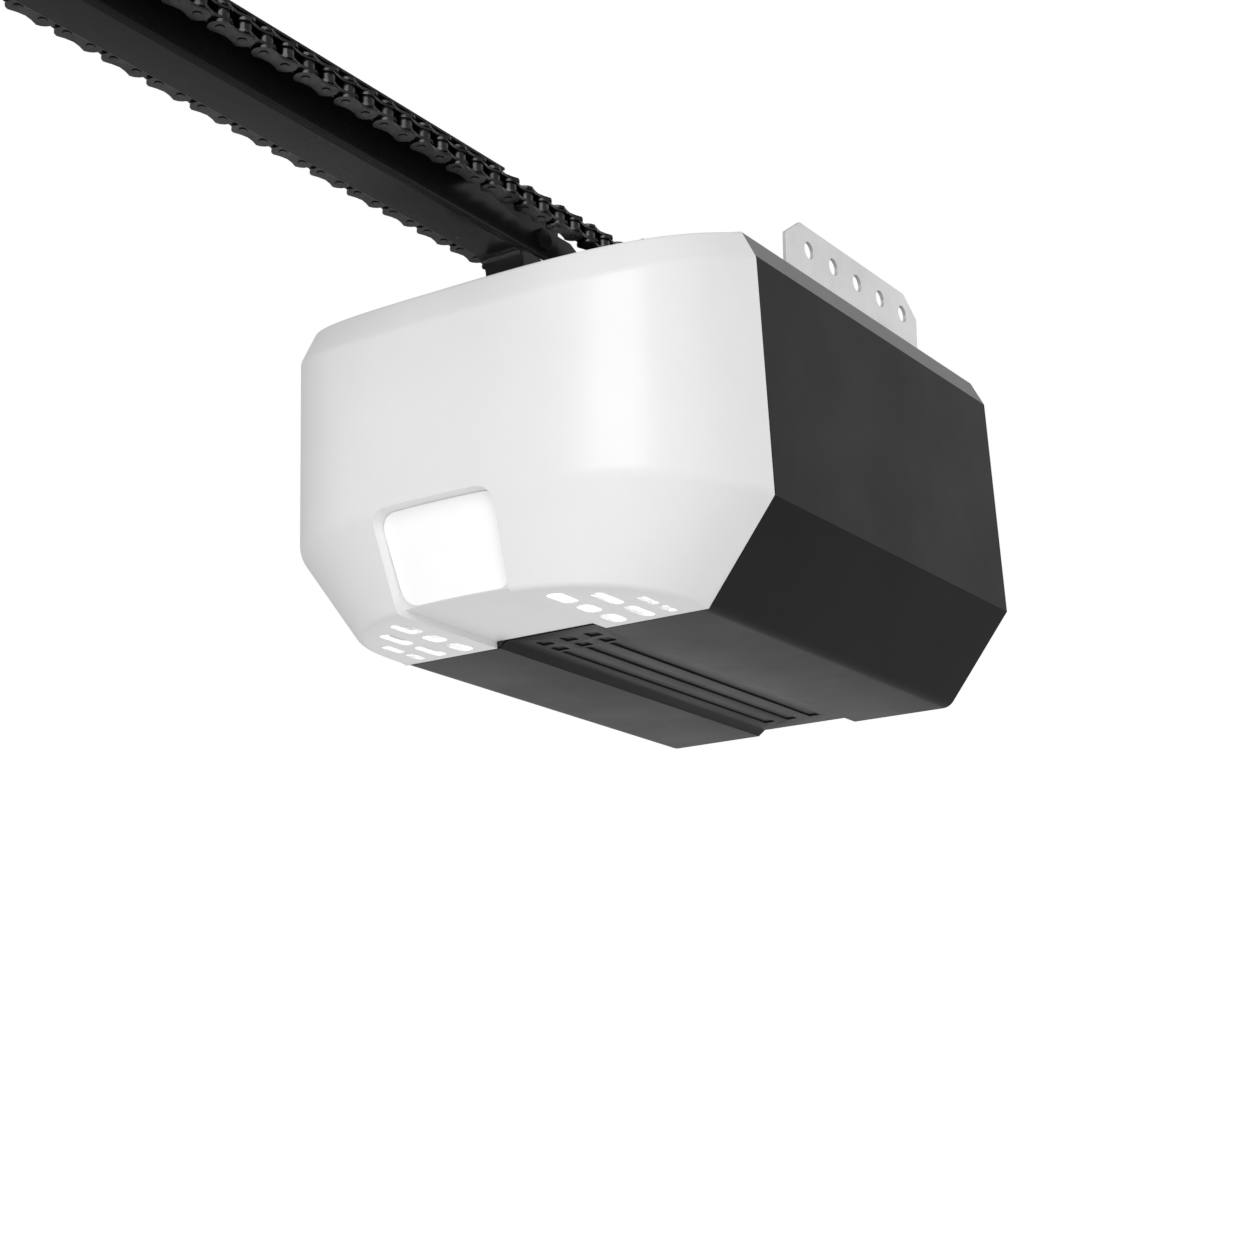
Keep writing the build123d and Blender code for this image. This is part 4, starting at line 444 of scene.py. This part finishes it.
def rounded_block(size, centre, corner, axis):
    """A block with the four edges along one axis rounded."""
    bm = bmesh.new()
    bmesh.ops.create_cube(bm, size=1.0)
    bmesh.ops.scale(bm, vec=size, verts=bm.verts)
    along = [edge for edge in bm.edges if abs((edge.verts[0].co - edge.verts[1].co)[axis]) > 1e-6]
    bmesh.ops.bevel(
        bm, geom=along, offset=corner, segments=6, profile=0.5, affect="EDGES", clamp_overlap=True, material=-1
    )
    bmesh.ops.translate(bm, vec=centre, verts=bm.verts)
    return bm


def spread_up(bm):
    """Widen a block upwards from the floor, as the recess and its panel widen."""
    for v in bm.verts:
        v.co.x *= 1 + PANEL_SPREAD * max(v.co.z - UNDERSIDE, 0) / PANEL_HEIGHT
    return bm


def window_block(grow):
    """The prism over the recess, from the floor to the panel's rounded top."""
    height = 70.0 * MM
    top = UNDERSIDE + PANEL_HEIGHT + grow
    size = (CHANNEL_WIDTH + 2 * grow, 110.0 * MM, height)
    return spread_up(rounded_block(size, (0, LENS_Y - 54.0 * MM, top - height / 2), PANEL_CORNER + grow, 1))


def recess_core(name, inset):
    """The bowl's form behind the recess, which lies further back than the floor's channel is deep."""
    bm = lens_form(inset)
    bmesh.ops.translate(bm, vec=(0, PANEL_SET_BACK, 0), verts=bm.verts)
    return as_object(name, bm)


# %% The lens cover
VENT_COLUMNS = [
    (44.5, 8.5, [(-62.0, -44.5), (-39.0, -26.0), (-20.5, -6.0)]),
    (60.5, 6.5, [(-51.5, -31.0), (-25.5, -6.0)]),
    (73.2, 4.5, [(-35.0, -21.0), (-17.0, -6.0)]),
]

recess = cut(as_object("recess", window_block(0)), [recess_core("recess core", PANEL_RECESS)])
rib = cut(as_object("rib", window_block(LENS_WALL)), [recess_core("rib core", PANEL_RECESS + LENS_WALL)])
hollow = cut(as_object("hollow", lens_form(LENS_WALL)), [rib])
bmesh_hollow = bmesh.new()
bmesh_hollow.from_mesh(hollow.data)
bmesh.ops.translate(
    bmesh_hollow, vec=(0, 1.0 * MM, 0), verts=[v for v in bmesh_hollow.verts if v.co.y > LENS_Y - 0.01 * MM]
)
bmesh_hollow.to_mesh(hollow.data)
bmesh_hollow.free()
vents = []
for column_x, vent_width, rows in VENT_COLUMNS:
    for vent_front, vent_rear in rows:
        for side in (1, -1):
            size = (vent_width * MM, (vent_rear - vent_front) * MM, 12.0 * MM)
            centre = (side * column_x * MM, FRONT + (vent_front + vent_rear) / 2 * MM, UNDERSIDE)
            vents.append(as_object("vent", rounded_block(size, centre, 0.42 * vent_width * MM, 2)))
notch = as_object(
    "notch", rounded_block((50.0 * MM, 120.0 * MM, 60.0 * MM), (0, LENS_Y, DECK), 2.0 * MM, 2)
)
cover_shape = cut(as_object("cover shape", lens_form(0)), [recess, hollow, notch] + vents)
cover_bm = bmesh.new()
cover_bm.from_mesh(cover_shape.data)
bpy.data.objects.remove(cover_shape)
bmesh.ops.remove_doubles(cover_bm, verts=cover_bm.verts, dist=0.01 * MM)
bmesh.ops.dissolve_limit(cover_bm, verts=cover_bm.verts, edges=cover_bm.edges, angle_limit=radians(0.2))
lens_cover = new_piece("lens_bowl", cover_bm, lens_white, "lens", ("lens_cover",), angle=28)
soften(lens_cover, 0.7 * MM, 3, 50)
print("lens faces", len(lens_cover.data.polygons))

# %% The lens panel
panel_shape = recess_core("panel shape", PANEL_RECESS - 1.0 * MM)
cut(panel_shape, [recess_core("panel core", PANEL_RECESS)])
panel_size = (CHANNEL_WIDTH - 0.6 * MM, 110.0 * MM, PANEL_HEIGHT - PANEL_RECESS - 0.6 * MM)
panel_centre = (0, LENS_Y - 54.0 * MM, UNDERSIDE + (PANEL_HEIGHT + PANEL_RECESS) / 2)
panel_block = spread_up(rounded_block(panel_size, panel_centre, PANEL_CORNER, 1))
cut(panel_shape, [as_object("panel edge", panel_block)], "INTERSECT")
panel_bm = bmesh.new()
panel_bm.from_mesh(panel_shape.data)
bpy.data.objects.remove(panel_shape)
bmesh.ops.remove_doubles(panel_bm, verts=panel_bm.verts, dist=0.01 * MM)
# The panel carries the painted glow of its emissive finish.
new_piece("painted_glow_panel", panel_bm, lens_painted_glow, "lens", ("lens_panel",), angle=28)

# %% [markdown]
# ## The chain
# Each link of the drive chain is a pair of plates over two rollers. Inner and outer pairs alternate, and a riveted
# pin shows at each joint. A plate's waisted outline is one disc drawn out along the link and pulled in between its
# ends, and the same plate is copied along the run.

# %% Chain sizes
PITCH = 12.7 * MM
TEETH = 13
PITCH_RADIUS = PITCH / (2 * sin(pi / TEETH))
CHAIN_Z = -1.0 * MM
SPROCKET_Y = FRONT + 43.7 * MM
LEFT_START = 6.33 * MM
INNER_HALF = 2.0 * MM
PLATE = 1.3 * MM
PLATE_HALF_WIDTH = 5.2 * MM
PLATE_WAIST = 3.2 * MM
ROLLER_RADIUS = 3.9 * MM
PIN_RADIUS = 2.0 * MM


def link_plate():
    """One link plate: a disc drawn out along the link, waisted between its ends and extruded."""
    bm = bmesh.new()
    bmesh.ops.create_circle(
        bm, segments=16, radius=PLATE_HALF_WIDTH, matrix=Matrix.Rotation(pi / 16, 4, "Z")
    )
    for side in (1, -1):
        end = [v for v in bm.verts if v.co.y * side > 0]
        bmesh.ops.translate(bm, vec=(0, side * PITCH / 2, 0), verts=end)
    sides = [edge for edge in bm.edges if edge.calc_length() > PITCH / 2]
    waist = bmesh.ops.subdivide_edges(bm, edges=sides, cuts=3)["geom_inner"]
    for v in waist:
        if isinstance(v, bmesh.types.BMVert):
            pull = 1 - (2 * v.co.y / PITCH) ** 2
            v.co.x -= (PLATE_HALF_WIDTH - PLATE_WAIST) * pull * (1 if v.co.x > 0 else -1)
    face = bmesh.ops.contextual_create(bm, geom=bm.edges[:])["faces"]
    grown = bmesh.ops.extrude_face_region(bm, geom=face, use_keep_orig=True)["geom"]
    top = [item for item in grown if isinstance(item, bmesh.types.BMVert)]
    bmesh.ops.translate(bm, vec=(0, 0, PLATE), verts=top)
    return as_mesh("link plate", bm)


def drum(radius, half_height, segments):
    """One upright drum: a roller or a pin."""
    bm = bmesh.new()
    bmesh.ops.create_cone(
        bm, cap_ends=True, segments=segments, radius1=radius, radius2=radius, depth=2 * half_height
    )
    return as_mesh("drum", bm)


def stamp(bm, mesh, matrix):
    """Add a copy of a small mesh to a bmesh at a place."""
    before = len(bm.verts)
    bm.from_mesh(mesh)
    bm.verts.ensure_lookup_table()
    bmesh.ops.transform(bm, matrix=matrix, verts=bm.verts[before:])


def chain(name, joints, first, replaces, ends=True):
    """A stretch of chain through the given joints; a link with an even number is an inner one."""
    bm = bmesh.new()
    outer = INNER_HALF + PLATE + 0.1 * MM
    plate = link_plate()
    roller = drum(ROLLER_RADIUS, INNER_HALF, 14)
    pin = drum(PIN_RADIUS, outer + PLATE + 0.4 * MM, 8)
    for k, (here, there) in enumerate(zip(joints, joints[1:]), first):
        middle = (here + there) / 2
        turn = Matrix.Rotation(atan2(-(there - here).x, (there - here).y), 4, "Z")
        place = Matrix.Translation(middle) @ turn
        level = INNER_HALF if k % 2 == 0 else outer
        for bottom in (level, -level - PLATE):
            stamp(bm, plate, place @ Matrix.Translation((0, 0, bottom)))
    for joint in joints if ends else joints[1:-1]:
        stamp(bm, roller, Matrix.Translation(joint))
        stamp(bm, pin, Matrix.Translation(joint))
    bmesh.ops.recalc_face_normals(bm, faces=bm.faces)
    piece = new_piece(name, bm, chain_dark, "root", replaces, angle=30)
    print(name, "links", len(joints) - 1, "faces", len(piece.data.polygons))
    return piece


# %% Chain runs
NEAR_FIRST = 5
RIGHT_LINKS = round((SPROCKET_Y - (FRONT - 1.0)) / PITCH)
LEFT_LINKS = round((2.1336 - 0.65 + 0.19) / PITCH)
right_joints = [Vector((PITCH_RADIUS, SPROCKET_Y - k * PITCH, CHAIN_Z)) for k in range(NEAR_FIRST, RIGHT_LINKS + 1)]
left_joints = [
    Vector((-PITCH_RADIUS, SPROCKET_Y - LEFT_START - k * PITCH, CHAIN_Z)) for k in range(NEAR_FIRST, LEFT_LINKS + 1)
]
chain("chain_right", right_joints, NEAR_FIRST, ("chain_near_right", "chain_far_right"))
chain("chain_left", left_joints, NEAR_FIRST, ("chain_near_left", "chain_far_left"))

# %% Chain round the sprocket
lead_in = [Vector((PITCH_RADIUS, SPROCKET_Y - k * PITCH, CHAIN_Z)) for k in range(NEAR_FIRST, -1, -1)]
around = [
    Vector((PITCH_RADIUS * cos(k * 2 * pi / TEETH), SPROCKET_Y + PITCH_RADIUS * sin(k * 2 * pi / TEETH), CHAIN_Z))
    for k in range(1, TEETH // 2 + 1)
]
lead_out = [
    Vector((-PITCH_RADIUS, SPROCKET_Y - LEFT_START - k * PITCH, CHAIN_Z)) for k in range(NEAR_FIRST + 1)
]
chain("chain_round", lead_in + around + lead_out, 0, ("chain_wrap",), ends=False)

# %% [markdown]
# ## Camera
# The camera stands below and in front of the head, to its right, and looks up. It was fitted to the
# corners of the case, the hanger's holes and the chain's pins.

# %% Camera
CAMERA_PLACE = Vector((0.63095, -0.98895, -0.4844))
CAMERA_YAW = radians(34.09)
CAMERA_PITCH = radians(15.26)
CAMERA_ROLL = radians(-0.52)
CAMERA_LENS = 67.67

camera_data = bpy.data.cameras.new("camera")
camera_data.lens = CAMERA_LENS
camera_data.sensor_width = 36.0
camera_data.clip_start = 0.01
camera = bpy.data.objects.new("camera", camera_data)
bpy.context.scene.collection.objects.link(camera)
turn = Matrix.Rotation(CAMERA_YAW, 4, "Z") @ Matrix.Rotation(pi / 2 + CAMERA_PITCH, 4, "X")
camera.matrix_world = Matrix.Translation(CAMERA_PLACE) @ turn @ Matrix.Rotation(CAMERA_ROLL, 4, "Z")
bpy.context.scene.camera = camera

# %% [markdown]
# ## Floor and light
# The floor is pale and matt. It lies under the lowest piece and hides nothing from below, because its
# underside lets the camera through. A key lamp, a weak fill and a pale world light the machine. Two
# kickers behind it draw the case's side and bottom out of the dark, and the camera sees the world as
# white.

# %% Floor
floor_bm = bmesh.new()
bmesh.ops.create_grid(floor_bm, x_segments=1, y_segments=1, size=12.0)
bmesh.ops.translate(floor_bm, vec=(0, -1.3, -0.86), verts=floor_bm.verts)
floor_mesh = as_mesh("floor", floor_bm)
floor = bpy.data.objects.new("floor", floor_mesh)
bpy.context.scene.collection.objects.link(floor)
floor_paint = bpy.data.materials.new("floor")
floor_paint.use_nodes = True
floor_tree = floor_paint.node_tree
floor_shader = floor_tree.nodes["Principled BSDF"]
floor_shader.inputs["Base Color"].default_value = grey(0.92)
floor_shader.inputs["Emission Color"].default_value = grey(1.0)
floor_shader.inputs["Emission Strength"].default_value = 0.08
floor_shader.inputs["Roughness"].default_value = 0.8
clear = floor_tree.nodes.new("ShaderNodeBsdfTransparent")
below = floor_tree.nodes.new("ShaderNodeNewGeometry")
either = floor_tree.nodes.new("ShaderNodeMixShader")
floor_tree.links.new(below.outputs["Backfacing"], either.inputs["Fac"])
floor_tree.links.new(floor_shader.outputs["BSDF"], either.inputs[1])
floor_tree.links.new(clear.outputs["BSDF"], either.inputs[2])
floor_tree.links.new(either.outputs["Shader"], floor_tree.nodes["Material Output"].inputs["Surface"])
floor_mesh.materials.append(floor_paint)

# %% World
world = bpy.data.worlds.new("world")
bpy.context.scene.world = world
world.use_nodes = True
sky = world.node_tree
background = sky.nodes["Background"]
light_path = sky.nodes.new("ShaderNodeLightPath")
strength = sky.nodes.new("ShaderNodeMapRange")
strength.inputs["To Min"].default_value = 0.47
strength.inputs["To Max"].default_value = 1.0
sky.links.new(light_path.outputs["Is Camera Ray"], strength.inputs["Value"])
sky.links.new(strength.outputs["Result"], background.inputs["Strength"])
background.inputs["Color"].default_value = grey(1.0)


# %% Lamps
def soft_lamp(name, place, target, size, power):
    """A square area lamp that faces a point."""
    data = bpy.data.lights.new(name, "AREA")
    data.shape = "SQUARE"
    data.size = size
    data.energy = power
    lamp = bpy.data.objects.new(name, data)
    bpy.context.scene.collection.objects.link(lamp)
    aim = (Vector(target) - Vector(place)).to_track_quat("-Z", "Y").to_matrix().to_4x4()
    lamp.matrix_world = Matrix.Translation(place) @ aim
    lamp.visible_camera = False
    return lamp


soft_lamp("key", (1.08, -1.63, 0.3), (0, -0.15, -0.1), 1.35, 18.0)
soft_lamp("fill", (-1.6, -1.2, 0.4), (0, -0.15, -0.1), 1.2, 2.5)
soft_lamp("right kicker", (1.25, 1.6, 0.5), (0, 0, -0.1), 1.2, 2.8)
soft_lamp("low kicker", (-1.1, 1.6, -0.55), (0, 0, -0.15), 0.9, 1.1)

# %% [markdown]
# The lens's plastic lets some daylight through, so its inside is bright and the vents glow. Two small
# lamps inside stand for that light.

# %% Light inside the lens
for side in (1, -1):
    inner = bpy.data.lights.new("inside", "POINT")
    inner.energy = 0.15
    inner.shadow_soft_size = 0.02
    glow = bpy.data.objects.new("inside", inner)
    glow.location = (side * 0.055, -0.165, -0.13)
    bpy.context.scene.collection.objects.link(glow)

bpy.context.scene.view_settings.view_transform = "Standard"
